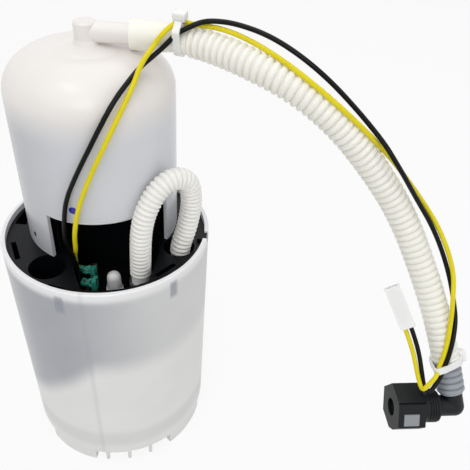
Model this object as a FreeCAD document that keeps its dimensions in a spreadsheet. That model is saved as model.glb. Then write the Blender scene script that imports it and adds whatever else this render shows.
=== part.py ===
import FreeCAD, Part
import math
import os
import Sketcher

# In-tank fuel pump module: a reservoir bowl with a carrier plate, an electric pump and a domed
# fine filter, a short hose between them, and an outlet hose with a quick connector.
# Millimetres, +Z up, origin at the centre of the base that the bowl stands on.

Vector = FreeCAD.Vector
SHEET = "sizes"

SIZES = [
    # reservoir bowl
    ("bowl_height", 159.5, "floor that it stands on to the top of the rim"),
    ("rim_radius", 60.0, "outside of the bowl at the rim"),
    ("base_radius", 58.3, "outside of the bowl above its rounded corner"),
    ("bowl_wall", 2.4, "wall of the bowl"),
    ("bowl_corner", 4.0, "radius between wall and floor"),
    ("bowl_floor", 2.5, "thickness of the floor"),
    ("foot_height", 8.0, "feet and pegs below the floor"),
    ("foot_radius", 57.2, "outside of the foot segments"),
    ("foot_width", 3.6, "radial width of a foot segment"),
    ("foot_arc", 37.0, "degrees covered by one foot segment"),
    ("peg_radius", 1.2, "guard pegs between the feet"),
    ("latch_width", 5.2, "width of a latch window"),
    ("latch_height", 12.4, "height of a latch window"),
    ("latch_base", 143.6, "lower edge of the latch windows"),
    ("notch_width", 6.8, "rim notch for the locating tab"),
    # clearances
    ("play", 0.3, "gap around a piece that drops into its place"),
    ("seat_gap", 0.1, "gap around a piece that is pushed home"),
    ("shaft_play", 0.03, "radial running clearance in the bearings"),
    # carrier plate
    ("plate_top", 156.0, "upper face of the carrier plate"),
    ("plate_thickness", 3.0, "thickness of the carrier plate"),
    ("moulding_wall", 1.8, "walls of the black mouldings"),
    ("skirt_front", 100.0, "lower edge of the skirt at the front and right"),
    ("skirt_left", 42.0, "lower edge of the skirt at the far left"),
    ("slot_width", 2.8, "spring slots beside the latches"),
    ("pocket_floor", 128.0, "floor of the open pocket over the pump"),
    ("pocket_left", -18.0, "left side of the pocket"),
    ("pocket_right", 33.0, "right side of the pocket"),
    ("pocket_back", 0.0, "back wall of the pocket"),
    ("pocket_reach", 52.3, "radius of the pocket's curved front"),
    ("well_x", -25.4, "round well beside the pocket"),
    ("well_y", -36.3, "round well beside the pocket"),
    ("well_radius", 10.2, "inside of the round well"),
    ("well_floor", 118.0, "upper face of the well's floor"),
    ("socket_x", 43.8, "barb that takes the short hose"),
    ("socket_y", -10.6, "barb that takes the short hose"),
    ("socket_radius", 9.0, "recess around that barb"),
    ("socket_floor", 138.0, "floor of that recess"),
    ("duct_height", 133.5, "axis of the duct below the plate"),
    ("duct_radius", 4.6, "outside of the duct"),
    ("duct_bore", 2.8, "inside of the duct"),
    ("riser_x", 24.0, "riser into the filter"),
    ("riser_y", 15.0, "riser into the filter"),
    ("tower_radius", 38.0, "outside of the wall that carries the filter"),
    # filter
    ("dome_x", -4.5, "axis of the dome"),
    ("dome_y", 11.6, "axis of the dome"),
    ("dome_radius", 44.1, "outside of the dome"),
    ("dome_wall", 2.0, "wall of the dome"),
    ("dome_straight", 241.8, "top of the dome's straight wall"),
    ("shoulder_height", 21.0, "rise of the rounded shoulder"),
    ("shoulder_width", 26.6, "radial reach of the rounded shoulder"),
    ("crown_height", 2.0, "rise of the middle over the shoulder"),
    ("arch_height", 185.0, "upper edge of the opening in the dome's front"),
    ("arch_start", -116.7, "bearing of the opening's left edge"),
    ("arch_angle", 94.2, "degrees that the opening spans"),
    ("boss_radius", 5.9, "outlet boss on the dome"),
    ("boss_top", 275.5, "top of the outlet boss"),
    ("nipple_height", 270.3, "axis of the outlet nipple"),
    ("nipple_radius", 5.2, "outlet nipple"),
    ("nipple_end", 30.0, "free end of the outlet nipple"),
    ("nipple_bore", 3.4, "inside of the outlet nipple"),
    ("base_bottom", 182.5, "underside of the filter base"),
    ("base_thickness", 3.5, "floor of the filter base"),
    ("base_rim", 7.0, "rim of the filter base over its floor"),
    ("ring_section", 1.0, "section radius of the sealing rings"),
    ("element_radius", 36.0, "outside of the pleats"),
    ("element_core", 19.0, "inside of the pleats"),
    ("element_height", 56.0, "height of the pleats"),
    ("pleat_count", 44.0, "pleats in the element"),
    ("paper", 0.6, "thickness of the filter paper"),
    ("cap_thickness", 2.0, "end caps of the element"),
    ("neck_radius", 7.0, "outlet neck of the element"),
    ("neck_bore", 4.5, "inside of that neck"),
    # pump
    ("pump_x", 9.5, "axis of the pump"),
    ("pump_y", -23.5, "axis of the pump"),
    ("can_radius", 19.5, "outside of the pump can"),
    ("can_wall", 1.2, "wall of the pump can"),
    ("can_bottom", 49.0, "lower edge of the pump can"),
    ("can_length", 81.0, "length of the pump can"),
    ("cup_radius", 21.0, "inside of the carrier's pump cup"),
    ("cup_bottom", 44.0, "lower edge of the pump cup"),
    ("cover_height", 8.0, "inlet cover inside the can"),
    ("impeller_radius", 15.0, "outside of the impeller"),
    ("impeller_height", 3.0, "thickness of the impeller"),
    ("vane_count", 36.0, "vanes around the impeller"),
    ("chamber_height", 9.0, "pump chamber above the inlet cover"),
    ("shaft_radius", 1.5, "rotor shaft"),
    ("bearing_radius", 3.8, "outside of the bearings"),
    ("bearing_height", 5.0, "height of the bearings"),
    ("core_radius", 11.8, "outside of the armature core"),
    ("core_height", 32.0, "height of the armature core"),
    ("core_slots", 8.0, "winding slots in the core"),
    ("winding_height", 5.5, "winding heads over and under the core"),
    ("commutator_radius", 6.5, "outside of the commutator"),
    ("commutator_height", 7.0, "height of the commutator"),
    ("magnet_gap", 0.7, "air gap between core and magnets"),
    ("cover_top", 134.0, "top of the pump's end cover"),
    ("outlet_x", 23.9, "pump outlet barb"),
    ("outlet_y", -28.1, "pump outlet barb"),
    ("barb_radius", 3.9, "barbs for the short hose"),
    ("barb_bore", 2.5, "inside of those barbs"),
    ("barb_length", 16.0, "length of the pump outlet barb"),
    ("relief_x", 9.0, "relief valve on the pump"),
    ("relief_y", -29.6, "relief valve on the pump"),
    ("relief_radius", 4.9, "outside of the relief valve's cap"),
    ("relief_height", 15.0, "height of the relief valve's cap"),
    ("valve_travel", 1.2, "lift of the valves"),
    # intake
    ("strainer_height", 8.0, "thickness of the strainer pad"),
    ("strainer_length", 62.0, "length of the strainer pad"),
    ("strainer_width", 34.0, "width of the strainer pad"),
    ("foot_valve_x", -27.0, "foot valve in the bowl's floor"),
    ("foot_valve_y", 16.0, "foot valve in the bowl's floor"),
    ("foot_valve_radius", 8.5, "rubber disc of the foot valve"),
    ("jet_height", 22.0, "axis of the jet pump over the base"),
    ("jet_length", 30.0, "mixing tube of the jet pump"),
    ("jet_radius", 4.6, "outside of the mixing tube"),
    # hoses and leads
    ("hose_radius", 7.5, "crests of the outlet hose"),
    ("hose_bore", 5.3, "inside of the outlet hose"),
    ("short_crest", 5.8, "crests of the short hose"),
    ("short_root", 4.9, "roots of the short hose"),
    ("short_pitch", 3.3, "pitch of the short hose's folds"),
    ("clamp_height", 6.0, "height of the hose clamps"),
    ("lead_radius", 1.25, "outside of a lead"),
    ("tie_width", 3.6, "width of a cable tie"),
    ("tie_thickness", 1.2, "thickness of a cable tie"),
    ("plug_length", 24.0, "plug on the leads"),
    ("plug_width", 8.6, "plug on the leads"),
    ("plug_height", 5.8, "plug on the leads"),
    # quick connector
    ("elbow_radius", 5.8, "outside of the elbow"),
    ("stem_radius", 5.2, "stem inside the outlet hose"),
    ("barrel_radius", 8.6, "barrel of the connector"),
    ("barrel_end", 20.8, "elbow to the end of the barrel"),
    ("head_length", 15.4, "head of the connector"),
    ("head_flats", 24.0, "across the flats of the head"),
    ("pipe_radius", 4.85, "pipe that the connector takes, with its clearance"),
    ("button_travel", 2.2, "travel of the release button"),
]

LATCH_BEARINGS = (-154.0, -103.0, -42.0, 26.0, 77.0, 138.0)
FOOT_BEARINGS = (-134.8, -44.8, 45.2, 135.2)
PEG_STEP = 15.0
TAB_BEARING = -2.5

doc = FreeCAD.newDocument("fuel_pump")
sheet = doc.addObject("Spreadsheet::Sheet", SHEET)
nodes = {}


class Size:
    """A number together with the sheet expression that it comes from."""

    def __init__(self, value, text):
        self.value = value
        self.text = text

    def join(self, sign, other, value):
        return Size(value, "(%s %s %s)" % (self.text, sign, text(other)))

    def __add__(self, other):
        return self.join("+", other, self.value + number(other))

    def __radd__(self, other):
        return as_size(other) + self

    def __sub__(self, other):
        return self.join("-", other, self.value - number(other))

    def __rsub__(self, other):
        return as_size(other) - self

    def __mul__(self, other):
        return self.join("*", other, self.value * number(other))

    def __rmul__(self, other):
        return as_size(other) * self

    def __truediv__(self, other):
        return self.join("/", other, self.value / number(other))

    def __neg__(self):
        return as_size(0.0) - self


def number(value):
    return value.value if isinstance(value, Size) else float(value)


def text(value):
    return value.text if isinstance(value, Size) else "(%.9f)" % value


def as_size(value):
    return value if isinstance(value, Size) else Size(float(value), text(value))


def fill_sheet():
    """One row for each driving dimension: its words, its number and its alias."""
    sizes = {}
    for row, (alias, value, words) in enumerate(SIZES, start=1):
        sheet.set("A%d" % row, words)
        sheet.set("B%d" % row, str(value))
        sheet.setAlias("B%d" % row, alias)
        sizes[alias] = Size(value, "%s.%s" % (SHEET, alias))
    doc.recompute()
    return sizes


def vector(point):
    return Vector(*[number(value) for value in point])


def bind(thing, name, value):
    """Tie a property of a document object to the sheet."""
    thing.setExpression(name, text(value))


def place(thing, at, axis=None, angle=0.0):
    """Put an object where the sheet says, turned about an axis through that place."""
    turn = FreeCAD.Rotation(Vector(*axis), angle) if axis else FreeCAD.Rotation()
    thing.Placement = FreeCAD.Placement(vector(at), turn)
    for letter, value in zip("xyz", at):
        if isinstance(value, Size):
            bind(thing, "Placement.Base." + letter, value)
    return thing


def facing(direction):
    """Axis and angle that turn +Z towards a direction."""
    turn = FreeCAD.Rotation(Vector(0, 0, 1), Vector(*direction))
    return (tuple(turn.Axis), math.degrees(turn.Angle))


def cylinder(name, radius, height, at, direction=None):
    thing = doc.addObject("Part::Cylinder", name)
    bind(thing, "Radius", radius)
    bind(thing, "Height", height)
    axis, angle = facing(direction) if direction else (None, 0.0)
    return place(thing, at, axis, angle)


def cone(name, lower, upper, height, at, direction=None):
    thing = doc.addObject("Part::Cone", name)
    bind(thing, "Radius1", lower)
    bind(thing, "Radius2", upper)
    bind(thing, "Height", height)
    axis, angle = facing(direction) if direction else (None, 0.0)
    return place(thing, at, axis, angle)


def ring(name, middle, section, at, direction=None):
    thing = doc.addObject("Part::Torus", name)
    bind(thing, "Radius1", middle)
    bind(thing, "Radius2", section)
    axis, angle = facing(direction) if direction else (None, 0.0)
    return place(thing, at, axis, angle)


def tube(name, outer, inner, height, at):
    """A cylinder bored through."""
    bore = cylinder(name + "_bore", inner, height + 2.0, (at[0], at[1], at[2] - 1.0))
    return cut(name, cylinder(name + "_stock", outer, height, at), bore)


def sector(name, outer, inner, height, at, start, span):
    """A piece of a ring, from one bearing through a span in degrees."""
    thing = doc.addObject("Part::Cylinder", name + "_stock")
    bind(thing, "Radius", outer)
    bind(thing, "Height", height)
    bind(thing, "Angle", span)
    place(thing, at, (0, 0, 1), number(start))
    bore = cylinder(name + "_bore", inner, height + 2.0, (at[0], at[1], at[2] - 1.0))
    return cut(name, thing, bore)


def block(name, size, at, axis=None, angle=0.0):
    thing = doc.addObject("Part::Box", name)
    for side, value in zip(("Length", "Width", "Height"), size):
        bind(thing, side, value)
    return place(thing, at, axis, angle)


def radial_block(name, bearing, inner, depth, width, low, height):
    """A block that points away from the bowl's axis at a bearing."""
    cosine = math.cos(math.radians(bearing))
    sine = math.sin(math.radians(bearing))
    corner = (inner * cosine + width * (0.5 * sine), inner * sine - width * (0.5 * cosine), low)
    return block(name, (depth, width, height), corner, (0, 0, 1), bearing)


def cut(name, base, *tools):
    thing = doc.addObject("Part::Cut", name)
    thing.Base = base
    thing.Tool = tools[0] if len(tools) == 1 else fuse(name + "_tools", *tools)
    thing.Refine = False
    return thing


def fuse(name, *pieces):
    thing = doc.addObject("Part::MultiFuse", name)
    thing.Shapes = list(pieces)
    thing.Refine = False
    return thing


def group(name, *pieces):
    thing = doc.addObject("Part::Compound", name)
    thing.Links = list(pieces)
    return thing


def solid(name, shape):
    """A piece made with Part's own functions."""
    thing = doc.addObject("Part::Feature", name)
    thing.Shape = shape
    return thing


def node(label, thing):
    """Name a finished sub-part; its file takes this name."""
    thing.Label = label
    nodes[label] = thing
    return thing


def draw(sketch, corners):
    """Closed outline through corners bound to the sheet. A corner with a third value is reached
    by an arc of that radius, bulging away from the outline's middle."""
    count = len(corners)
    points = [Vector(number(corner[0]), number(corner[1]), 0) for corner in corners]
    ends = []
    for index in range(count):
        start, stop = points[index - 1], points[index]
        if len(corners[index]) == 3:
            ends.append(draw_arc(sketch, start, stop, corners[index][2]))
        else:
            edge = sketch.addGeometry(Part.LineSegment(start, stop), False)
            ends.append((edge, 1, 2))
    rules = []
    for index in range(count):
        edge, first, last = ends[index]
        following = ends[(index + 1) % count]
        sketch.addConstraint(Sketcher.Constraint("Coincident", edge, last, following[0], following[1]))
        for kind, value in (("DistanceX", corners[index][0]), ("DistanceY", corners[index][1])):
            rule = Sketcher.Constraint(kind, -1, 1, edge, last, number(value))
            rules.append((sketch.addConstraint(rule), value))
        if len(corners[index]) == 3:
            rule = Sketcher.Constraint("Radius", edge, number(corners[index][2]))
            rules.append((sketch.addConstraint(rule), corners[index][2]))
    for rule, value in rules:
        if isinstance(value, Size):
            sketch.setExpression("Constraints[%d]" % rule, text(value))


def draw_arc(sketch, start, stop, radius):
    """Quarter-like arc; its centre lies on the side where the two ends turn left."""
    middle = (start + stop) * 0.5
    half = (stop - start) * 0.5
    rise = math.sqrt(max(number(radius) ** 2 - half.Length ** 2, 0.0))
    side = Vector(-half.y, half.x, 0).normalize()
    centre = middle + side * rise
    first = math.atan2(start.y - centre.y, start.x - centre.x)
    last = math.atan2(stop.y - centre.y, stop.x - centre.x)
    circle = Part.Circle(centre, Vector(0, 0, 1), number(radius))
    return (sketch.addGeometry(Part.ArcOfCircle(circle, first, last), False), 1, 2)


def profile_body(name, plane, corners):
    """A body with one sketch on one of its own origin planes."""
    body = doc.addObject("PartDesign::Body", name)
    sketch = body.newObject("Sketcher::SketchObject", name + "_outline")
    support = [feature for feature in body.Origin.OriginFeatures if feature.Role == plane][0]
    sketch.AttachmentSupport = [(support, "")]
    sketch.MapMode = "FlatFace"
    draw(sketch, corners)
    return body, sketch


def turned(name, corners, at=(0.0, 0.0, 0.0), direction=None):
    """Revolved piece: corners are (radius, height), running anticlockwise."""
    body, sketch = profile_body(name, "XZ_Plane", corners)
    feature = body.newObject("PartDesign::Revolution", name + "_turning")
    feature.Profile = sketch
    feature.ReferenceAxis = (sketch, ["V_Axis"])
    feature.Angle = 360.0
    body.Tip = feature
    axis, angle = facing(direction) if direction else (None, 0.0)
    return place(body, at, axis, angle)


def padded(name, corners, height, at=(0.0, 0.0, 0.0), plane="XY_Plane", axis=None, angle=0.0):
    """Extruded piece: an outline pushed along the normal of its plane."""
    body, sketch = profile_body(name, plane, corners)
    feature = body.newObject("PartDesign::Pad", name + "_pad")
    feature.Profile = sketch
    bind(feature, "Length", height)
    body.Tip = feature
    return place(body, at, axis, angle)


# Reservoir bowl


def bowl_inside(z):
    """Inner radius of the tapered bowl wall at a height."""
    low = s.foot_height + s.bowl_corner
    taper = (s.rim_radius - s.base_radius) / (s.bowl_height - low)
    return s.base_radius - s.bowl_wall + (z - low) * taper


def reservoir_bowl():
    floor_top = s.foot_height + s.bowl_floor
    shell = turned("bowl_shell", [
        (0.0, s.foot_height),
        (s.base_radius - s.bowl_corner, s.foot_height),
        (s.base_radius, s.foot_height + s.bowl_corner, s.bowl_corner),
        (s.rim_radius, s.bowl_height - s.bowl_wall / 4.0),
        (s.rim_radius - s.bowl_wall / 4.0, s.bowl_height),
        (s.rim_radius - s.bowl_wall, s.bowl_height),
        (bowl_inside(floor_top + 3.0), floor_top + 3.0),
        (bowl_inside(floor_top) - 3.0, floor_top),
        (0.0, floor_top),
    ])
    parts = [shell]
    overlap = s.bowl_floor * 0.8
    for bearing in FOOT_BEARINGS:
        parts.append(sector("foot", s.foot_radius, s.foot_radius - s.foot_width,
                            s.foot_height + overlap, (0.0, 0.0, 0.0), bearing, s.foot_arc))
        for step in (1, 2, 3):
            turn = math.radians(bearing + s.foot_arc.value + PEG_STEP * step - 7.0)
            reach = s.foot_radius - s.foot_width * 0.4
            at = (reach * math.cos(turn), reach * math.sin(turn), 0.0)
            parts.append(cylinder("peg", s.peg_radius, s.foot_height + overlap, at))
    openings = []
    for bearing in LATCH_BEARINGS:
        openings.append(radial_block("latch_window", bearing, s.rim_radius - 6.0, 8.0, s.latch_width,
                                     s.latch_base, s.latch_height))
    openings.append(radial_block("rim_notch", TAB_BEARING, s.rim_radius - 6.0, 8.0, s.notch_width,
                                 s.plate_top - 1.0 - s.play, 8.0))
    for turn in range(0, 360, 60):
        reach = s.foot_valve_radius * 0.6
        at = (s.foot_valve_x + reach * math.cos(math.radians(turn)),
              s.foot_valve_y + reach * math.sin(math.radians(turn)), s.foot_height - 1.0)
        openings.append(cylinder("foot_valve_port", 1.9, s.bowl_floor + 2.0, at))
    stem_at = (s.foot_valve_x, s.foot_valve_y, s.foot_height - 1.0)
    openings.append(cylinder("foot_valve_eye", STEM_RADIUS + s.play, s.bowl_floor + 2.0, stem_at))
    return cut("bowl", fuse("bowl_moulding", *parts), *openings)


STEM_RADIUS = 1.6


def foot_valve_disc():
    """Rubber umbrella: a disc on the floor's ports, its stem and bulb below."""
    floor_top = s.foot_height + s.bowl_floor
    bulb = floor_top - s.bowl_floor - s.valve_travel
    return turned("foot_valve", [
        (0.0, bulb - 2.0),
        (1.2, bulb - 2.0),
        (STEM_RADIUS + 0.9, bulb - 0.6),
        (STEM_RADIUS + 0.9, bulb),
        (STEM_RADIUS, bulb),
        (STEM_RADIUS, floor_top + 0.05),
        (s.foot_valve_radius, floor_top + 0.05),
        (s.foot_valve_radius, floor_top + 0.6),
        (STEM_RADIUS, floor_top + 1.6),
        (0.0, floor_top + 1.6),
    ], (s.foot_valve_x, s.foot_valve_y, 0.0))


# Carrier plate with its skirt, pocket, pump cup, well, hose recess, duct and tower


def pocket_outline(margin):
    """Plan of the pocket, or of its walls when a margin is given."""
    reach = s.pocket_reach + margin
    left, right = math.radians(-93.4), math.radians(-53.4)
    return [
        (s.pocket_left - margin, s.pocket_back + margin),
        (s.pocket_left - margin, -19.5 - margin * 0.3),
        (s.pocket_left + 9.6 - margin, -42.0 - margin * 0.3),
        (reach * math.cos(left) - margin, reach * math.sin(left)),
        (reach * math.cos(right) + margin * 0.6, reach * math.sin(right) - margin * 0.4, reach),
        (s.pocket_right + margin, -20.0),
        (s.pocket_right + margin, -12.0 + margin * 0.4),
        (s.pocket_right - 9.0 + margin * 0.4, s.pocket_back + margin),
    ]


def plate_and_skirt():
    low, inner = s.plate_top - s.plate_thickness, s.play
    top_radius = bowl_inside(s.plate_top) - inner
    low_radius = bowl_inside(low) - inner
    skirt_radius = bowl_inside(s.skirt_left) - inner
    shell = turned("carrier_shell", [
        (0.0, low),
        (low_radius - s.moulding_wall, low),
        (skirt_radius - s.moulding_wall, s.skirt_left),
        (skirt_radius, s.skirt_left),
        (top_radius, s.plate_top),
        (0.0, s.plate_top),
    ])
    reach = s.rim_radius + 5.0
    trim = padded("skirt_trim", [
        (-reach, s.skirt_left - 5.0),
        (reach, s.skirt_left - 5.0),
        (reach, s.skirt_front),
        (2.0, s.skirt_front),
        (-s.rim_radius + 2.0, s.skirt_left),
        (-reach, s.skirt_left),
    ], reach * 2.0, (0.0, reach, 0.0), "XZ_Plane")
    return cut("carrier_cap", shell, trim)


def carrier_openings():
    """What is cut from the carrier once its walls are fused."""
    low = s.pocket_floor
    well = (s.well_x, s.well_y)
    socket = (s.socket_x, s.socket_y)
    pump = (s.pump_x, s.pump_y)
    through = s.plate_top + 2.0
    duct_run = duct_direction()
    tools = [
        padded("pocket_space", pocket_outline(0.0), through - low, (0.0, 0.0, low)),
        cylinder("well_space", s.well_radius, through - s.well_floor, (*well, s.well_floor)),
        cylinder("cup_space", s.cup_radius, low + 0.5 - s.cup_bottom - s.moulding_wall,
                 (*pump, s.cup_bottom + s.moulding_wall)),
        cylinder("cup_mouth", s.cup_radius - 4.5, 10.0, (*pump, s.cup_bottom - 5.0)),
        cylinder("barb_bore", s.barb_bore, 40.0, (*socket, s.duct_height)),
        cylinder("duct_bore_space", s.duct_bore, duct_run[1], (*socket, s.duct_height), duct_run[0]),
        cylinder("riser_bore", s.duct_bore, 80.0, (s.riser_x, s.riser_y, s.duct_height)),
        cylinder("take_off_bore", 1.0, 20.0, (s.riser_x, s.riser_y, s.duct_height - 19.0)),
    ]
    for bearing, reach, length in ((-152.0, 51.6, 16.0), (-39.4, 49.0, 14.0)):
        tools.append(radial_block("latch_slot", bearing, reach, s.slot_width, length,
                                  s.plate_top - s.plate_thickness - 1.0, 8.0))
    sweep = sector("fill_gap_stock", s.rim_radius - 4.6, s.dome_radius * 0.6, 8.0,
                   (0.0, 0.0, s.plate_top - s.plate_thickness - 1.0), 118.0, 63.0)
    keep = cylinder("fill_gap_keep", s.dome_radius + 1.4, 12.0,
                    (s.dome_x, s.dome_y, s.plate_top - s.plate_thickness - 3.0))
    tools.append(cut("fill_gap", sweep, keep))
    return tools


def duct_direction():
    """Direction and length of the duct from the short hose's barb to the riser."""
    dx = s.riser_x.value - s.socket_x.value
    dy = s.riser_y.value - s.socket_y.value
    return ((dx, dy, 0.0), math.hypot(dx, dy))


def carrier_walls():
    low = s.pocket_floor
    well = (s.well_x, s.well_y)
    socket = (s.socket_x, s.socket_y)
    pump = (s.pump_x, s.pump_y)
    wall = s.moulding_wall
    duct_run = duct_direction()
    under = s.plate_top - 1.0
    return [
        padded("pocket_walls", pocket_outline(wall), under - low + wall, (0.0, 0.0, low - wall)),
        cylinder("well_wall", s.well_radius + wall, under - s.well_floor + wall,
                 (*well, s.well_floor - wall)),
        cylinder("cup_wall", s.cup_radius + wall, low - s.cup_bottom, (*pump, s.cup_bottom)),
        cylinder("recess_wall", s.socket_radius + wall, under - s.socket_floor + wall,
                 (*socket, s.socket_floor - wall)),
        cylinder("duct_start", s.duct_radius, s.socket_floor - s.duct_height + 2.0,
                 (*socket, s.duct_height - 2.0)),
        cylinder("duct_wall", s.duct_radius, duct_run[1], (*socket, s.duct_height), duct_run[0]),
        cylinder("take_off", FEED_BORE - 0.1, 14.0,
                 (s.riser_x, s.riser_y, s.duct_height - s.duct_radius - 13.0)),
        cylinder("riser_wall", s.duct_radius, s.base_bottom - s.play - s.duct_height + s.duct_radius,
                 (s.riser_x, s.riser_y, s.duct_height - s.duct_radius)),
    ]


def tower():
    """Wall inside the dome, open at the front, that carries the filter base."""
    wall = s.moulding_wall
    rise = s.base_bottom - s.plate_top + 1.0
    floor = s.plate_top - 1.0
    arc = sector("tower_arc", s.tower_radius, s.tower_radius - wall, rise,
                 (s.dome_x, s.dome_y, floor), -8.0, 250.0)
    back = block("tower_back", (s.tower_radius * 2.0 - 4.0, wall, rise),
                 (s.dome_x - s.tower_radius + 2.0, s.pocket_back, floor))
    return [arc, back]


def latches():
    pieces = []
    for bearing in LATCH_BEARINGS:
        inner = bowl_inside(s.latch_base) - 1.2
        nub = padded("latch_nub", [
            (inner, s.latch_base + 1.0),
            (inner + 3.2, s.latch_base + 2.0),
            (inner + 3.2, s.latch_base + 4.2),
            (inner, s.latch_base + 9.5),
        ], s.latch_width - s.play * 2.0, (0.0, 0.0, 0.0), "XZ_Plane")
        half = s.latch_width.value / 2.0 - s.play.value
        turn = math.radians(bearing)
        place(nub, (-half * math.sin(turn), half * math.cos(turn), 0.0), (0, 0, 1), bearing)
        pieces.append(nub)
    return pieces


def hose_barb(name, at, length):
    """Barbed spigot, one frustum above the next, standing on its foot."""
    pieces = [cylinder(name + "_core", s.barb_radius - 0.5, length, at)]
    step = (length - 3.0) / 3.0
    for index in range(3):
        low = at[2] + step * float(index) + 1.5
        pieces.append(cone(name + "_tooth", s.barb_radius, s.barb_radius - 0.6, step,
                           (at[0], at[1], low)))
    return pieces


def pump_carrier():
    socket = (s.socket_x, s.socket_y)
    tab = radial_block("locating_tab", TAB_BEARING, s.rim_radius - 6.0, 5.2,
                       s.notch_width - s.play * 2.0, s.plate_top - 1.0, 3.4)
    rib = radial_block("plate_rib", -103.8, 53.2, 1.4, 16.0, s.plate_top - 1.0, 2.6)
    body = fuse("carrier_stock", plate_and_skirt(), *carrier_walls(), *latches(), tab, rib)
    opened = cut("carrier_opened", body, *carrier_openings())
    recess = tube("recess_space", s.socket_radius, s.duct_radius - 0.6, 30.0, (*socket, s.socket_floor))
    opened = cut("carrier_recessed", opened, recess)
    above = cylinder("recess_clear", s.socket_radius, 30.0, (*socket, s.plate_top - 5.5))
    opened = cut("carrier_clear", opened, above)
    barb = fuse("socket_barb", *hose_barb("socket_barb", (*socket, s.socket_floor - 1.0), 12.0))
    barb = cut("socket_barb_bored", barb,
               cylinder("socket_barb_bore", s.barb_bore, 20.0, (*socket, s.socket_floor - 3.0)))
    spigot = riser_spigot()
    walls = cut("tower_bored", fuse("tower", *tower()),
                cylinder("tower_clear", s.duct_bore, 60.0, (s.riser_x, s.riser_y, s.plate_top - 5.0)))
    return fuse("carrier", opened, barb, walls, spigot)


def riser_spigot():
    """Thin end of the riser that stands in the filter base."""
    low = s.base_bottom - 4.0
    return tube("riser_spigot", s.duct_radius - 1.0, s.duct_bore, s.base_thickness + 4.0,
                (s.riser_x, s.riser_y, low))


# Fine filter: base, dome and element


def filter_base():
    low, inner = s.base_bottom, s.dome_radius - s.dome_wall - s.seat_gap
    top = low + s.base_thickness
    groove = low + s.base_thickness + s.base_rim - 1.6
    depth = s.ring_section * 2.1
    body = turned("base_dish", [
        (0.0, low),
        (inner, low),
        (inner, groove - s.ring_section * 2.2),
        (inner - depth, groove - s.ring_section * 2.2),
        (inner - depth, groove),
        (inner, groove),
        (inner, top + s.base_rim),
        (inner - depth - 1.6, top + s.base_rim),
        (inner - depth - 1.6, top),
        (s.element_core + 3.0, top),
        (s.element_core + 3.0, top + 2.0),
        (s.element_core - 1.0, top + 2.0),
        (s.element_core - 1.0, top),
        (0.0, top),
    ], (s.dome_x, s.dome_y, 0.0))
    riser = (s.riser_x, s.riser_y)
    hole = cylinder("base_hole", s.duct_radius - 1.0 + s.seat_gap, 20.0, (*riser, low - 5.0))
    gland = cylinder("base_gland", s.duct_radius - 1.0 + s.ring_section * 2.0, s.ring_section * 2.0,
                     (*riser, low))
    return cut("base_bored", body, hole, gland)


def rim_seal():
    middle = s.dome_radius - s.dome_wall - s.ring_section - s.seat_gap
    groove = s.base_bottom + s.base_thickness + s.base_rim - 1.6 - s.ring_section * 1.1
    return ring("rim_ring", middle, s.ring_section, (s.dome_x, s.dome_y, groove))


def riser_seal():
    middle = s.duct_radius - 1.0 + s.ring_section
    return ring("riser_ring", middle, s.ring_section * 0.95,
                (s.riser_x, s.riser_y, s.base_bottom + s.ring_section))


def dome_section(wall):
    """Half section of the dome on its axis: straight wall, elliptical shoulder and crown."""
    radius = s.dome_radius.value - wall
    low = s.plate_top.value - (1.0 if wall else 0.0)
    straight = s.dome_straight.value
    width = s.shoulder_width.value - wall
    rise = s.shoulder_height.value - wall
    centre = Vector(radius - width, 0, straight)
    ellipse = Part.Ellipse(centre + Vector(width, 0, 0), centre + Vector(0, 0, rise), centre)
    shoulder = Part.ArcOfEllipse(ellipse, 0.0, math.pi / 2.0).toShape()
    crown = Vector(0, 0, straight + rise + s.crown_height.value)
    inner = centre + Vector(0, 0, rise)
    bulge = Vector(inner.x * 0.5, 0, inner.z + s.crown_height.value * 0.75)
    edges = [
        Part.makeLine(Vector(0, 0, low), Vector(radius, 0, low)),
        Part.makeLine(Vector(radius, 0, low), Vector(radius, 0, straight)),
        shoulder,
        Part.Arc(inner, bulge, crown).toShape(),
        Part.makeLine(crown, Vector(0, 0, low)),
    ]
    face = Part.Face(Part.Wire(edges))
    return face.revolve(Vector(0, 0, 0), Vector(0, 0, 1), 360.0)


def filter_dome():
    centre = (s.dome_x, s.dome_y)
    shell = solid("dome_shell", dome_section(0.0).cut(dome_section(s.dome_wall.value)))
    place(shell, (*centre, 0.0))
    arch = sector("arch_opening", s.dome_radius + 6.0, s.dome_radius - 8.0,
                  s.arch_height - s.plate_top + 5.0, (*centre, s.plate_top - 5.0),
                  s.arch_start, s.arch_angle)
    top = s.dome_straight + s.shoulder_height
    boss_low = top - s.dome_wall
    neck = s.neck_radius + s.seat_gap
    boss = turned("dome_boss", [
        (0.0, boss_low),
        (neck + s.dome_wall / 2.0, boss_low),
        (s.boss_radius, top + 4.0),
        (s.boss_radius, s.boss_top - 0.8),
        (s.boss_radius - 0.8, s.boss_top),
        (0.0, s.boss_top),
    ], (*centre, 0.0))
    collar = tube("dome_collar", neck + s.dome_wall, neck, 9.0 + s.dome_wall / 2.0, (*centre, top - 10.0))
    stub = cylinder("outlet_nipple", s.nipple_radius, s.nipple_end - s.dome_x,
                    (*centre, s.nipple_height), (1, 0, 0))
    bore = cylinder("outlet_bore", s.nipple_bore, s.nipple_end - s.dome_x + 2.0,
                    (*centre, s.nipple_height), (1, 0, 0))
    drop = cylinder("outlet_drop", s.nipple_bore, s.nipple_height - boss_low + 4.0,
                    (*centre, boss_low - 4.0))
    catch = radial_catch()
    return cut("dome", fuse("dome_moulding", shell, boss, collar, stub), arch, bore, drop, catch)


def radial_catch():
    """Small slit for the catch in the dome's left leg."""
    bearing = -136.0
    turn = math.radians(bearing)
    reach = s.dome_radius - 4.0
    at = (s.dome_x + reach * math.cos(turn), s.dome_y + reach * math.sin(turn), s.plate_top + 6.0)
    return block("catch_slit", (8.0, 1.2, 4.4), at, (0, 0, 1), bearing)


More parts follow.
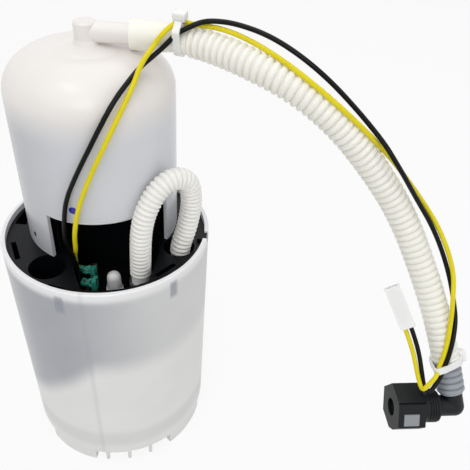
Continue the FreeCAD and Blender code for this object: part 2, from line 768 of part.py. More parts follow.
def element_low():
    return s.base_bottom + s.base_thickness + 2.0 + s.cap_thickness


def pleated_paper():
    """Star-shaped ring of folded paper: one closed outline, extruded."""
    count = int(s.pleat_count.value)
    outer, inner = s.element_radius.value, s.element_core.value
    thick = s.paper.value
    rings = []
    for shift in (0.0, -thick):
        points = []
        for fold in range(count):
            for half, radius in ((0.0, outer + shift), (0.5, inner + shift + thick)):
                turn = 2.0 * math.pi * (fold + half) / count
                grow = shift * 2.2 if half == 0.0 else shift
                reach = radius + (grow if half == 0.0 else 0.0)
                points.append(Vector(reach * math.cos(turn), reach * math.sin(turn), 0))
        rings.append(Part.Face(Part.makePolygon(points + points[:1])))
    face = rings[0].cut(rings[1])
    return face.extrude(Vector(0, 0, s.element_height.value))


def filter_element():
    at = (s.dome_x, s.dome_y, element_low())
    return place(solid("pleats", pleated_paper()), at)


def element_bottom_cap():
    low = element_low() - s.cap_thickness
    return turned("bottom_cap", [
        (0.0, low),
        (s.element_radius + 1.0, low),
        (s.element_radius + 1.0, low + s.cap_thickness + 2.0),
        (s.element_radius + 0.2, low + s.cap_thickness + 2.0),
        (s.element_radius + 0.2, low + s.cap_thickness),
        (0.0, low + s.cap_thickness),
    ], (s.dome_x, s.dome_y, 0.0))


def element_top_cap():
    low = element_low() + s.element_height
    neck_top = s.dome_straight + s.shoulder_height - 3.0
    groove = neck_top - 2.4
    return turned("top_cap", [
        (s.neck_bore, low),
        (s.element_radius + 0.2, low),
        (s.element_radius + 0.2, low - 2.0),
        (s.element_radius + 1.0, low - 2.0),
        (s.element_radius + 1.0, low + s.cap_thickness),
        (s.neck_radius, low + s.cap_thickness),
        (s.neck_radius, groove - s.ring_section * 1.8),
        (s.neck_radius - s.ring_section * 1.5, groove - s.ring_section * 1.8),
        (s.neck_radius - s.ring_section * 1.5, groove),
        (s.neck_radius, groove),
        (s.neck_radius, neck_top),
        (s.neck_bore, neck_top),
    ], (s.dome_x, s.dome_y, 0.0))


def neck_seal():
    groove = s.dome_straight + s.shoulder_height - 3.0 - 2.4
    section = s.ring_section * 0.72
    return ring("neck_ring", s.neck_radius - section, section,
                (s.dome_x, s.dome_y, groove - s.ring_section * 0.9))


def element_tube():
    """Perforated support tube inside the pleats."""
    outer = s.element_core - s.paper - 0.2
    low = element_low()
    body = tube("core_tube", outer, outer - 1.2, s.element_height, (s.dome_x, s.dome_y, low))
    slots = []
    for index in range(8):
        slots.append(block("core_slot", (outer * 2.2, 4.0, s.element_height - 12.0),
                           (s.dome_x, s.dome_y, low + 6.0), (0, 0, 1), 45.0 * index))
    return cut("core_slotted", body, *[centred_slot(slot, outer) for slot in slots[:4]])


def centred_slot(slot, outer):
    """Slide a slot block so that it crosses the axis evenly."""
    turn = slot.Placement.Rotation
    shift = turn.multVec(Vector(-outer.value * 1.1, -2.0, 0))
    place(slot, (s.dome_x + shift.x, s.dome_y + shift.y, element_low() + 6.0),
          (0, 0, 1), math.degrees(turn.Angle) * (1.0 if turn.Axis.z > 0 else -1.0))
    return slot


# Electric pump, from its inlet cover up to its end cover


def pump_at(z=0.0):
    return (s.pump_x, s.pump_y, z)


def can_inside():
    return s.can_radius - s.can_wall


def cover_low():
    return s.can_bottom + s.can_wall


def chamber_low():
    return cover_low() + s.cover_height


def core_low():
    return chamber_low() + s.chamber_height + 1.5 + s.winding_height


def commutator_low():
    return core_low() + s.core_height + s.winding_height + 1.0


def can_top():
    return s.can_bottom + s.can_length


def pump_can():
    inner, lip = can_inside(), can_inside() - 1.8
    low, top = s.can_bottom, can_top()
    return turned("can", [
        (lip, low),
        (s.can_radius - 0.8, low),
        (s.can_radius, low + 0.8, 0.8),
        (s.can_radius, top - 0.8),
        (s.can_radius - 0.8, top, 0.8),
        (lip, top),
        (lip, top - s.can_wall),
        (inner, top - s.can_wall),
        (inner, low + s.can_wall),
        (lip, low + s.can_wall),
    ], pump_at())


def inlet_cover():
    low, outer = cover_low(), can_inside() - s.seat_gap
    port = (s.pump_x - 10.5, s.pump_y)
    body = cylinder("inlet_disc", outer, s.cover_height, pump_at(low))
    nipple = cylinder("inlet_nipple", INLET_RADIUS, 11.0, (*port, low - 10.0))
    bore = cylinder("inlet_bore", 3.0, 30.0, (*port, low - 12.0))
    channel = ring("inlet_channel", s.impeller_radius - 2.0, 1.3, pump_at(chamber_low()))
    thrust = cylinder("thrust_recess", s.shaft_radius + 0.4, 4.0, pump_at(chamber_low() - 3.5))
    return cut("inlet_cover_bored", fuse("inlet_cover_stock", body, nipple), bore, channel, thrust)


INLET_RADIUS = 4.2


def impeller():
    low = chamber_low() + IMPELLER_GAP
    disc = tube("impeller_disc", s.impeller_radius, s.shaft_radius, s.impeller_height, pump_at(low))
    count = int(s.vane_count.value)
    notches = []
    for index in range(count):
        bearing = 360.0 * index / count
        turn = math.radians(bearing)
        reach = s.impeller_radius - 2.6
        at = (s.pump_x + reach * math.cos(turn), s.pump_y + reach * math.sin(turn), low - 1.0)
        notches.append(block("vane_gap", (4.0, 1.3, s.impeller_height + 2.0), at, (0, 0, 1), bearing))
    return cut("impeller_cut", disc, *notches)


IMPELLER_GAP = 0.2


def pump_chamber():
    low, outer = chamber_low(), can_inside() - s.seat_gap
    recess = s.impeller_height + IMPELLER_GAP * 2.0
    body = cylinder("chamber_disc", outer, s.chamber_height, pump_at(low))
    space = cylinder("chamber_recess", s.impeller_radius + s.play, recess + 1.0, pump_at(low - 1.0))
    channel = ring("chamber_channel", s.impeller_radius - 2.0, 1.3, pump_at(low + recess))
    seat = cylinder("bearing_seat", s.bearing_radius, s.bearing_height + 1.0,
                    pump_at(low + s.chamber_height - s.bearing_height))
    eye = cylinder("shaft_eye", s.shaft_radius + 0.6, 20.0, pump_at(low - 2.0))
    port = cylinder("chamber_port", 1.8, 20.0, (s.pump_x + 12.5, s.pump_y, low + recess - 0.5))
    return cut("chamber_bored", body, space, channel, seat, eye, port)


def bearing(name, low):
    return tube(name, s.bearing_radius, s.shaft_radius + s.shaft_play, s.bearing_height, pump_at(low))


def rotor_shaft():
    low = chamber_low() - 3.2
    top = upper_bearing_low() + s.bearing_height
    radius = s.shaft_radius
    return turned("shaft", [
        (0.0, low),
        (radius - 0.4, low),
        (radius, low + 0.6),
        (radius, top - 0.4),
        (radius - 0.4, top),
        (0.0, top),
    ], pump_at())


def upper_bearing_low():
    return commutator_low() + s.commutator_height + 2.0


def slot_places(reach):
    """Middle of each winding slot."""
    count = int(s.core_slots.value)
    places = []
    for index in range(count):
        turn = 2.0 * math.pi * index / count
        places.append((s.pump_x + reach * math.cos(turn), s.pump_y + reach * math.sin(turn),
                       math.degrees(turn)))
    return places


SLOT_RADIUS = 2.2


def armature_core():
    low = core_low()
    stack = tube("core_stack", s.core_radius, s.shaft_radius, s.core_height, pump_at(low))
    tools = []
    for x, y, bearing in slot_places(s.core_radius - 3.4):
        tools.append(cylinder("slot_bore", SLOT_RADIUS, s.core_height + 2.0, (x, y, low - 1.0)))
        turn = math.radians(bearing)
        corner = (x + 0.6 * math.sin(turn), y - 0.6 * math.cos(turn), low - 1.0)
        tools.append(block("slot_mouth", (6.0, 1.2, s.core_height + 2.0), corner, (0, 0, 1), bearing))
    return cut("core_slotted_stack", stack, *tools)


def armature_winding():
    low, high = core_low(), core_low() + s.core_height
    outer, inner = s.core_radius - 0.8, s.shaft_radius + 1.5
    heads = []
    for name, start in (("lower_head", low - s.winding_height), ("upper_head", high)):
        heads.append(turned(name, [
            (inner, start),
            (outer - 1.5, start),
            (outer, start + 1.5, 1.5),
            (outer, start + s.winding_height - 1.5),
            (outer - 1.5, start + s.winding_height, 1.5),
            (inner, start + s.winding_height),
        ], pump_at()))
    bars = [cylinder("slot_bar", SLOT_RADIUS - 0.1, s.core_height + 2.0, (x, y, low - 1.0))
            for x, y, _ in slot_places(s.core_radius - 3.4)]
    return fuse("winding", *heads, *bars)


def commutator():
    low = commutator_low()
    body = tube("commutator_stock", s.commutator_radius, s.shaft_radius, s.commutator_height,
                pump_at(low))
    count = int(s.core_slots.value)
    cuts = []
    for index in range(count):
        bearing = 360.0 * index / count
        turn = math.radians(bearing)
        reach = s.commutator_radius - 1.6
        at = (s.pump_x + reach * math.cos(turn), s.pump_y + reach * math.sin(turn), low - 1.0)
        cuts.append(block("bar_gap", (3.0, 0.5, s.commutator_height + 2.0), at, (0, 0, 1), bearing))
    return cut("commutator_cut", body, *cuts)


def field_magnets():
    low = core_low() - 4.0
    outer, inner = can_inside() - s.seat_gap, s.core_radius + s.magnet_gap
    return group("magnets", *[sector("magnet", outer, inner, s.core_height + 8.0, pump_at(low),
                                     start, 140.0) for start in (-70.0, 110.0)])


def magnet_clips():
    low = core_low() - 4.0
    outer = can_inside() - s.seat_gap
    return group("clips", *[sector("clip", outer, outer - 1.0, s.core_height + 8.0, pump_at(low),
                                   start, 38.0) for start in (71.0, 251.0)])


def brush_block(name, bearing, inner, outer, width, height, middle):
    """A radial block about the pump's axis."""
    turn = math.radians(bearing)
    at = (s.pump_x + inner * math.cos(turn) + width * (0.5 * math.sin(turn)),
          s.pump_y + inner * math.sin(turn) - width * (0.5 * math.cos(turn)), middle - height / 2.0)
    return block(name, (outer - inner, width, height), at, (0, 0, 1), bearing)


BRUSH_BEARINGS = (75.0, 255.0)
BRUSH_WIDTH = 4.4
BRUSH_HEIGHT = 5.6


def brush_middle():
    return commutator_low() + s.commutator_height / 2.0


def brushes():
    inner = s.commutator_radius + s.play
    return group("brush_pair", *[
        brush_block("brush", bearing, inner, inner + 6.5, as_size(BRUSH_WIDTH), as_size(BRUSH_HEIGHT),
                    brush_middle()) for bearing in BRUSH_BEARINGS])


def coil(radius, wire, low, height, turns):
    """Compression spring standing on its lower end, closed to that height."""
    spine = Part.makeHelix((height - wire * 2.0) / turns, height - wire * 2.0, radius)
    section = Part.makeCircle(wire, Vector(radius, 0, 0), Vector(0, 1, 0))
    shape = Part.Wire(spine.Edges).makePipeShell([Part.Wire([section])], True, True)
    shape.translate(Vector(0, 0, low + wire))
    return shape


def brush_springs():
    """One coil spring behind each brush, along its bearing."""
    inner = s.commutator_radius.value + s.play.value + 6.5 + 0.1
    outer = can_inside().value - s.seat_gap.value - 0.9
    pieces = []
    for bearing in BRUSH_BEARINGS:
        shape = coil(1.5, 0.25, inner, outer - inner, 4.0)
        shape.rotate(Vector(0, 0, 0), Vector(0, 1, 0), 90.0)
        shape.rotate(Vector(0, 0, 0), Vector(0, 0, 1), bearing)
        shape.translate(vector(pump_at(brush_middle())))
        pieces.append(shape)
    return solid("brush_coils", Part.makeCompound(pieces))


def end_cover():
    """Plastic end of the pump: brush slots below, outlet barb, relief seat and terminals above."""
    outer = can_inside() - s.seat_gap
    low, shoulder = commutator_low() - 0.2, can_top() - s.can_wall
    neck = can_inside() - 1.8 - s.seat_gap
    outlet = (s.outlet_x, s.outlet_y)
    relief = (s.relief_x, s.relief_y)
    plug = turned("end_plug", [
        (0.0, low),
        (outer, low),
        (outer, shoulder),
        (neck, shoulder),
        (neck, s.cover_top - 1.0),
        (neck - 1.0, s.cover_top),
        (0.0, s.cover_top),
    ], pump_at())
    boss = cylinder("outlet_boss", s.barb_radius + 0.3, s.cover_top - can_top() - 0.2,
                    (*outlet, can_top() + 0.2))
    barb = hose_barb("outlet_barb", (*outlet, s.cover_top - 0.5), s.barb_length)
    saddle = cylinder("relief_saddle", s.relief_radius, 3.0, (*relief, s.cover_top - 2.0))
    posts = [block("terminal_post", (2.4, 6.4, 5.0), (x - 1.2, y - 3.2, s.cover_top - 1.0))
             for x, y in terminal_places()]
    body = fuse("end_cover_stock", plug, boss, *barb, saddle, *posts)
    tools = [
        cylinder("commutator_room", s.commutator_radius + 1.6, s.commutator_height + 1.2,
                 pump_at(low - 0.5)),
        cylinder("shaft_room", s.shaft_radius + 0.8, 5.0, pump_at(upper_bearing_low() - 3.0)),
        cylinder("upper_bearing_seat", s.bearing_radius, s.bearing_height + 0.5,
                 pump_at(upper_bearing_low())),
        cylinder("outlet_valve_room", s.barb_bore, 40.0, (*outlet, valve_seat())),
        outlet_feed(low),
        cylinder("relief_feed", 1.3, 30.0, (*relief, low - 1.0)),
        cylinder("relief_room", BALL_RADIUS + s.play, 6.0, (*relief, relief_seat())),
    ]
    for bearing in BRUSH_BEARINGS:
        tools.append(brush_block("brush_slot", bearing, s.commutator_radius, outer - 0.8,
                                 as_size(BRUSH_WIDTH + 0.3), as_size(BRUSH_HEIGHT + 0.3),
                                 brush_middle()))
    for x, y in terminal_places():
        tools.append(block("terminal_slot", (0.8, 4.8, 12.0), (x - 0.4, y - 2.4, s.cover_top - 6.0)))
    return cut("end_cover_bored", body, *tools)


BALL_RADIUS = 2.2


def outlet_feed(low):
    """Sloping passage from the motor space to the seat of the check valve."""
    start = (s.pump_x + 11.8, s.pump_y - 3.8, low - 1.0)
    run = vector((s.outlet_x, s.outlet_y, valve_seat() + 0.3)) - vector(start)
    return cylinder("outlet_feed", 1.2, run.Length, start, (run.x, run.y, run.z))


def valve_seat():
    return can_top() + 1.6


def relief_seat():
    return s.cover_top - 1.6


def terminal_places():
    """Middle of the two terminal blades: rear for the yellow lead, front for the black."""
    return ((s.pump_x - 14.0, s.pump_y + 1.5), (s.pump_x - 11.0, s.pump_y - 8.5))


def pump_terminals():
    return group("blades", *[
        block("blade", (0.8, 4.8, 16.0), (x - 0.4, y - 2.4, s.cover_top - 6.0))
        for x, y in terminal_places()])


def lead_starts():
    """Where the leads leave their crimps: yellow, then black."""
    rear, front = terminal_places()
    high = s.cover_top
    return (((rear[0] - 8.0, rear[1] + 1.0, high + 9.0), (rear[0] - 0.6, rear[1], high + 7.5)),
            ((front[0] - 8.0, front[1] + 1.0, high + 7.0), (front[0] - 0.6, front[1], high + 6.0)))


def terminal_crimps():
    """Lacquered receptacles pushed over the blades, with a barrel round each lead."""
    pieces = []
    for (x, y), (outer, inner) in zip(terminal_places(), lead_starts()):
        run = vector(outer) - vector(inner)
        barrel = cylinder("crimp_barrel", 1.9, run.Length, inner, (run.x, run.y, run.z))
        shoe = block("crimp_shoe", (2.6, 6.0, 7.0), (x - 1.3, y - 3.0, s.cover_top + 4.1))
        slit = block("crimp_slit", (0.8, 4.8, 8.0), (x - 0.4, y - 2.4, s.cover_top + 2.1))
        pieces.append(cut("crimp", fuse("crimp_stock", barrel, shoe), slit))
    return group("crimps", *pieces)


def check_poppet():
    low, radius = valve_seat() + 0.02, s.barb_bore - s.play
    return turned("outlet_poppet", [
        (0.0, low),
        (radius, low),
        (radius, low + 1.2),
        (1.0, low + 1.6),
        (1.0, low + 4.0),
        (0.0, low + 4.0),
    ], (s.outlet_x, s.outlet_y, 0.0))


def check_spring():
    low = valve_seat().value + 1.75
    shape = coil(1.5, 0.2, low, valve_stop_low().value - low - 0.1, 5.0)
    shape.translate(Vector(s.outlet_x.value, s.outlet_y.value, 0))
    return solid("check_coil", shape)


def valve_stop_low():
    return valve_seat() + 8.0


def valve_stop():
    """Perforated stop pressed into the barb above the spring."""
    return tube("stop_ring", s.barb_bore, 1.1, 1.6, (s.outlet_x, s.outlet_y, valve_stop_low()))


def relief_ball():
    thing = doc.addObject("Part::Sphere", "steel_ball")
    bind(thing, "Radius", as_size(BALL_RADIUS))
    return place(thing, (s.relief_x, s.relief_y, ball_middle()))


def ball_middle():
    return relief_seat() + math.sqrt(BALL_RADIUS ** 2 - 1.3 ** 2) + 0.02


def relief_cap():
    """White cap over the relief valve, with slots at its foot."""
    low, outer = s.cover_top + 1.1, s.relief_radius
    top = s.cover_top + s.relief_height
    inner = as_size(BALL_RADIUS) + s.play
    shell = turned("relief_shell", [
        (inner, low),
        (outer, low),
        (outer, low + 2.6),
        (outer - 0.7, low + 3.2),
        (outer - 1.0, top - 3.6),
        (outer - 4.4, top, 3.5),
        (0.0, top),
        (0.0, top - 1.6),
        (inner, top - 1.6),
    ], (s.relief_x, s.relief_y, 0.0))
    slot = block("relief_slot", (outer * 2.0 + 2.0, 1.6, 1.4),
                 (s.relief_x - outer - 1.0, s.relief_y - 0.8, low + 4.4))
    return cut("relief_cap_slotted", shell, slot)


def relief_spring():
    low = ball_middle().value + 1.5
    top = s.cover_top.value + s.relief_height.value - 1.6
    shape = coil(1.75, 0.25, low, top - low - 0.1, 6.0)
    shape.translate(Vector(s.relief_x.value, s.relief_y.value, 0))
    return solid("relief_coil", shape)


def upper_isolator():
    low = s.pocket_floor - 8.0
    return turned("upper_rubber", [
        (s.can_radius + 0.1, low),
        (s.cup_radius - 0.1, low),
        (s.cup_radius - 0.1, low + 7.0),
        (s.can_radius + 0.1, low + 7.0),
    ], pump_at())


def lower_isolator():
    low = s.cup_bottom + s.moulding_wall
    return turned("lower_rubber", [
        (s.cup_radius - 4.4, low),
        (s.cup_radius - 0.1, low),
        (s.cup_radius - 0.1, low + 9.0),
        (s.can_radius + 0.1, low + 9.0),
        (s.can_radius + 0.1, s.can_bottom),
        (s.cup_radius - 4.4, s.can_bottom),
    ], pump_at())


# Intake: strainer under the pump, jet pump over the foot valve


def stadium(length, width, z):
    """Level wire with straight sides and round ends."""
    half, radius = (length - width) / 2.0, width / 2.0
    corners = [Vector(-half, -radius, z), Vector(half, -radius, z),
               Vector(half, radius, z), Vector(-half, radius, z)]
    return Part.Wire([
        Part.makeLine(corners[0], corners[1]),
        Part.Arc(corners[1], Vector(half + radius, 0, z), corners[2]).toShape(),
        Part.makeLine(corners[2], corners[3]),
        Part.Arc(corners[3], Vector(-half - radius, 0, z), corners[0]).toShape(),
    ])


def floor_level():
    return s.foot_height + s.bowl_floor


def strainer_place():
    return (s.pump_x - 6.0, s.pump_y + 3.0, floor_level() + 0.2)


def strainer_bag(inset):
    length = s.strainer_length.value - 2.0 * inset
    width = s.strainer_width.value - 2.0 * inset
    height = s.strainer_height.value - inset
    return Part.makeLoft([stadium(length - 8.0, width - 8.0, inset),
                          stadium(length - 2.0, width - 2.0, inset + (height - inset) * 0.4),
                          stadium(length - 2.0, width - 2.0, inset + (height - inset) * 0.6),
                          stadium(length - 8.0, width - 8.0, height)], True, True)


def strainer_mesh():
    """Flat bag of filter cloth, open under the neck."""
    bag = strainer_bag(0.0).cut(strainer_bag(CLOTH))
    x, y, _ = strainer_place()
    port = Vector(number(s.pump_x - 10.5 - x), number(s.pump_y - y), s.strainer_height.value - 2.0)
    bag = bag.cut(Part.makeCylinder(INLET_RADIUS, 4.0, port))
    return place(solid("strainer_bag", bag), strainer_place())


CLOTH = 0.8


def strainer_neck():
    """Spine on the bag, with the neck that takes the pump's inlet."""
    x, y, low = strainer_place()
    deck = low + s.strainer_height
    port = (s.pump_x - 10.5, s.pump_y)
    spine = block("strainer_spine", (s.strainer_length - 22.0, 5.0, 1.6),
                  (x - (s.strainer_length - 22.0) / 2.0, port[1] - 2.5, deck))
    rib = block("strainer_rib", (5.0, s.strainer_width - 14.0, 1.6),
                (port[0] - 2.5, y - (s.strainer_width - 14.0) / 2.0, deck))
    flange = cylinder("strainer_flange", INLET_RADIUS + 4.5, 1.6, (*port, deck))
    neck = cylinder("strainer_tube", INLET_RADIUS + 1.6, cover_low() - 2.0 - deck, (*port, deck))
    bore = cylinder("strainer_bore", INLET_RADIUS + s.seat_gap, 60.0, (*port, deck - 0.1))
    return cut("strainer_frame_bored", fuse("strainer_frame_stock", spine, rib, flange, neck), bore)


def jet_body():
    """Chamber over the foot valve with the mixing tube across its top."""
    at = (s.foot_valve_x, s.foot_valve_y)
    outer = s.foot_valve_radius + 2.6
    low, axis = floor_level(), s.jet_height
    chamber = cylinder("jet_chamber", outer, axis - low, (*at, low))
    throat = cylinder("jet_tube", s.jet_radius, s.jet_length, (at[0], at[1] - 4.0, axis), (0, 1, 0))
    socket = cylinder("jet_socket", s.jet_radius, 10.0, (at[0], at[1] - 13.0, axis), (0, 1, 0))
    room = cylinder("jet_room", outer - 1.6, axis - low - s.jet_radius + 0.2, (*at, low - 1.0))
    well = cylinder("jet_well", 2.6, 8.0, (*at, axis - s.jet_radius - 1.0))
    bore = cylinder("jet_bore", s.jet_radius - 1.6, 60.0, (at[0], at[1] - 16.0, axis), (0, 1, 0))
    return cut("jet_bored", fuse("jet_stock", chamber, throat, socket), room, well, bore)


def jet_nozzle():
    """Elbowed nozzle in the end of the mixing tube."""
    at = (s.foot_valve_x, s.foot_valve_y - 13.0)
    axis, radius = s.jet_height, s.jet_radius - 1.6 - s.seat_gap
    plug = cylinder("nozzle_plug", radius, 9.0, (at[0], at[1] - 1.0, axis), (0, 1, 0))
    tip = cone("nozzle_tip", radius, 1.2, 4.0, (at[0], at[1] + 8.0, axis), (0, 1, 0))
    collar = cylinder("nozzle_collar", s.jet_radius, 5.0, (at[0], at[1] - 5.2, axis), (0, 1, 0))
    riser = cylinder("nozzle_riser", FEED_BORE - 0.1, 11.0, (at[0], at[1] - 2.7, axis))
    bore = cylinder("nozzle_bore", 0.9, 20.0, (at[0], at[1] - 2.7, axis), (0, 1, 0))
    drop = cylinder("nozzle_drop", 1.0, 20.0, (at[0], at[1] - 2.7, axis))
    return cut("nozzle_bored", fuse("nozzle_stock", plug, tip, collar, riser), bore, drop)


FEED_BORE = 2.6
FEED_RADIUS = 3.9


def jet_feed_start():
    return (s.riser_x, s.riser_y, s.duct_height - s.duct_radius)


# Routes: straight runs joined by tangent arcs


def rounded_path(points, share=0.45):
    """Path through the points' corners, each rounded as largely as its two runs allow.
    Returns the wire and the radii."""
    edges, radii = [], []
    start = points[0]
    for before, corner, after in zip(points, points[1:], points[2:]):
        arriving, leaving = corner - before, after - corner
        run = min(arriving.Length, leaving.Length) * share
        first = corner - Vector(arriving).normalize() * run
        last = corner + Vector(leaving).normalize() * run
        half = arriving.getAngle(leaving) / 2.0
        radius = run / math.tan(half)
        inward = (Vector(leaving).normalize() - Vector(arriving).normalize()).normalize()
        middle = corner + inward * (radius / math.cos(half) - radius)
        edges.append(Part.LineSegment(start, first).toShape())
        edges.append(Part.Arc(first, middle, last).toShape())
        radii.append(radius)
        start = last
    edges.append(Part.LineSegment(start, points[-1]).toShape())
    return Part.Wire(edges), radii


def swept(path, radius):
    start = path.Edges[0]
    along = start.tangentAt(start.FirstParameter)
    section = Part.Wire([Part.makeCircle(radius, start.valueAt(start.FirstParameter), along)])
    return path.makePipeShell([section], True, True)


def hose_solid(name, points, radius, bore=0.0):
    """Plain hose or lead along its route; prints its radii and checks its volume."""
    path, radii = rounded_path([vector(point) for point in points])
    shape = swept(path, radius)
    area = math.pi * radius ** 2
    if bore:
        shape = shape.cut(swept(path, bore))
        area -= math.pi * bore ** 2
    print("%-14s length %.1f  radii %s" % (name, path.Length, " ".join("%.0f" % r for r in radii)))
    print("%-14s volume against section times length %.4f" % (name, shape.Volume / (area * path.Length)))
    return solid(name, shape)


def jet_feed():
    x, y, top = [value.value for value in (as_size(v) for v in jet_feed_start())]
    end = (s.foot_valve_x.value, s.foot_valve_y.value - 15.7, s.jet_height.value)
    points = [(x, y, top - 0.3), (x, y, top - 36.0), (x - 10.0, y + 4.0, top - 62.0),
              (x - 30.0, y + 4.0, top - 78.0), (end[0] + 8.0, end[1] + 9.0, end[2] + 26.0),
              (end[0], end[1], end[2] + 18.0), (end[0], end[1], end[2] + s.jet_radius.value + 0.3)]
    return hose_solid("jet_feed", points, FEED_RADIUS, FEED_BORE)


# Short hose from the pump to the carrier's barb


SHORT_ROUTE = (
    (23.9, -28.1, 134.8), (24.3, -27.9, 160.0), (26.3, -28.4, 186.0), (33.0, -22.5, 201.0),
    (41.0, -15.5, 206.0), (48.8, -8.0, 201.0), (50.8, -5.6, 186.0), (48.4, -7.6, 169.0),
    (43.8, -10.6, 154.0), (43.8, -10.6, 139.3),
)
SHORT_CUFF = 13.0


def stations(path, distances):
    """Place and direction on a path at each distance from its start."""
    found = []
    for distance in distances:
        rest = distance
        for edge in path.Edges:
            if rest <= edge.Length + 1e-6 or edge is path.Edges[-1]:
                break
            rest -= edge.Length
        at = edge.getParameterByLength(min(rest, edge.Length))
        found.append((edge.valueAt(at), edge.tangentAt(at)))
    return found


def hoop(radius, centre, along):
    """Circle across the route, its seam kept on the same side all the way."""
    axis, angle = frame_turn((-0.64, 0.77, 0.0), tuple(along))
    wire = Part.Wire([Part.makeCircle(radius)])
    wire.Placement = FreeCAD.Placement(centre, FreeCAD.Rotation(Vector(*axis), angle))
    return wire


def short_hose():
    """Convoluted hose with plain cuffs, crest and root in turn."""
    path, radii = rounded_path([vector(point) for point in SHORT_ROUTE])
    print("short_hose     length %.1f  radii %s" % (path.Length, " ".join("%.0f" % r for r in radii)))
    crest, root, half = s.short_crest.value, s.short_root.value, s.short_pitch.value / 2.0
    folds = int((path.Length - 2.0 * SHORT_CUFF) / half / 2.0)
    start = (path.Length - 2.0 * folds * half) / 2.0
    distances, radii = [0.0], [root + 0.4]
    for index in range(2 * folds + 1):
        distances.append(start + half * index)
        radii.append(root if index % 2 == 0 else crest)
    distances.append(path.Length)
    radii.append(root + 0.4)
    sections = [hoop(radius, centre, along)
                for radius, (centre, along) in zip(radii, stations(path, distances))]
    outside = Part.makeLoft(sections, True, True)
    return solid("short_hose_shape", outside.cut(swept(path, s.barb_radius.value + s.seat_gap.value)))


def clamp_band(name, at, outer, bearing):
    """Steel band with one crimped ear."""
    band = tube(name + "_band", outer + 0.9, outer, s.clamp_height, at)
    ear = ear_block(name + "_ear", at, outer - 0.2, 2.8, 5.0, 0.0, bearing)
    hole = ear_block(name + "_hole", at, outer + 0.7, 1.3, 3.4, 1.0, bearing)
    core = cylinder(name + "_core", outer, s.clamp_height + 2.0, (at[0], at[1], at[2] - 1.0))
    return cut(name + "_formed", fuse(name + "_stock", band, ear), hole, core)


def ear_block(name, at, inner, depth, width, margin, bearing):
    turn = math.radians(bearing)
    cosine, sine = math.cos(turn), math.sin(turn)
    corner = (at[0] + inner * cosine + width / 2.0 * sine,
              at[1] + inner * sine - width / 2.0 * cosine, at[2] - margin)
    return block(name, (depth, width, s.clamp_height + margin * 2.0), corner, (0, 0, 1), bearing)


def hose_clamps():
    outer = s.short_root + 0.5
    pump = clamp_band("pump_clamp", (s.outlet_x, s.outlet_y, s.cover_top + 4.0), outer, 90.0)
    socket = clamp_band("socket_clamp", (s.socket_x, s.socket_y, s.socket_floor + 2.0), outer, 200.0)
    return pump, socket


# Outlet hose, leads, ties and plug


MAIN_ROUTE = (
    (18.0, 11.6, 270.3), (41.0, 11.4, 270.2), (62.0, 1.0, 269.8), (84.0, -11.8, 266.4),
    (104.0, -18.4, 258.8), (124.0, -21.2, 244.2), (143.0, -21.6, 223.2), (160.0, -23.8, 201.6),
    (176.0, -31.0, 174.4), (194.13, -46.23, 137.82), (203.63, -62.91, 107.95),
)
BLACK_RISE = (
    (-10.4, -32.2, 148.5), (-10.6, -33.2, 156.5), (-14.9, -34.1, 163.0), (-16.4, -34.4, 173.0),
    (-13.9, -34.6, 186.2), (-9.8, -35.4, 201.3), (-2.9, -35.7, 216.4), (5.4, -34.9, 232.8),
    (12.1, -32.6, 245.6), (18.8, -24.4, 257.0), (25.2, -9.0, 262.6), (33.6, -1.8, 270.6),
)
BLACK_RUN = (
    (51.0, 2.6, 282.0), (59.0, 5.4, 284.2), (76.8, 0.4, 283.2), (91.4, -6.0, 279.2), (107.0, -11.4, 272.4),
    (122.6, -17.2, 262.2), (137.8, -20.6, 248.3), (152.7, -23.6, 231.7), (165.9, -26.6, 213.6),
    (179.6, -31.2, 195.9), (189.8, -38.8, 179.6), (197.2, -47.4, 159.2), (197.4, -58.2, 140.4),
)
BLACK_FOLD = ((191.2, -68.8, 117.2), (186.8, -69.0, 119.2))
YELLOW_RISE = (
    (-13.6, -23.4, 148.0), (-12.6, -27.0, 157.0), (-9.6, -34.2, 168.0), (-8.4, -38.2, 180.0),
    (-5.4, -38.8, 192.3), (-1.5, -38.8, 205.3), (5.6, -38.2, 221.2), (14.3, -34.8, 239.6),
    (21.8, -26.8, 254.6), (25.6, -14.4, 264.0), (28.6, 1.2, 275.8),
)
YELLOW_RUN = (
    (52.4, 4.4, 278.9), (63.0, -1.6, 279.4), (77.3, -8.6, 278.6), (91.6, -17.2, 274.4), (106.9, -22.6, 267.2),
    (122.6, -24.2, 256.4), (137.4, -22.8, 243.4), (152.3, -21.2, 228.2), (166.9, -23.2, 210.4),
    (181.8, -28.2, 193.2), (190.0, -36.6, 174.6), (193.8, -49.8, 156.0), (193.6, -57.4, 141.6),
)
YELLOW_FOLD = ((188.2, -66.4, 114.8), (183.6, -67.4, 117.4))
UPPER_TIE = (25.2, (-0.10, -0.30, 0.95))
LOWER_TIE = (270.0, (-0.62, -0.74, 0.22))


def main_hose():
    return hose_solid("main_hose", MAIN_ROUTE, s.hose_radius.value, s.hose_bore.value)


def hose_station(distance):
    path, _ = rounded_path([vector(point) for point in MAIN_ROUTE])
    return stations(path, [distance])[0]


def at_tie(tie, forward, side):
    """Point of a lead where a tie holds it on the hose."""
    distance, towards = tie
    centre, along = hose_station(distance)
    across = along.cross(Vector(*towards)).normalize()
    outward = across.cross(along).normalize()
    reach = s.hose_radius.value + s.lead_radius.value + 0.25
    return tuple(centre + along * forward + outward * reach + across * side * LEAD_STEP)


LEAD_STEP = 1.5


def plug_point(side, depth):
    across, along = Vector(*PLUG_ACROSS).normalize(), Vector(*PLUG_ALONG).normalize()
    across = (across - along * across.dot(along)).normalize()
    return tuple(Vector(*PLUG_END) + across * side * CONTACT_STEP + along * depth)


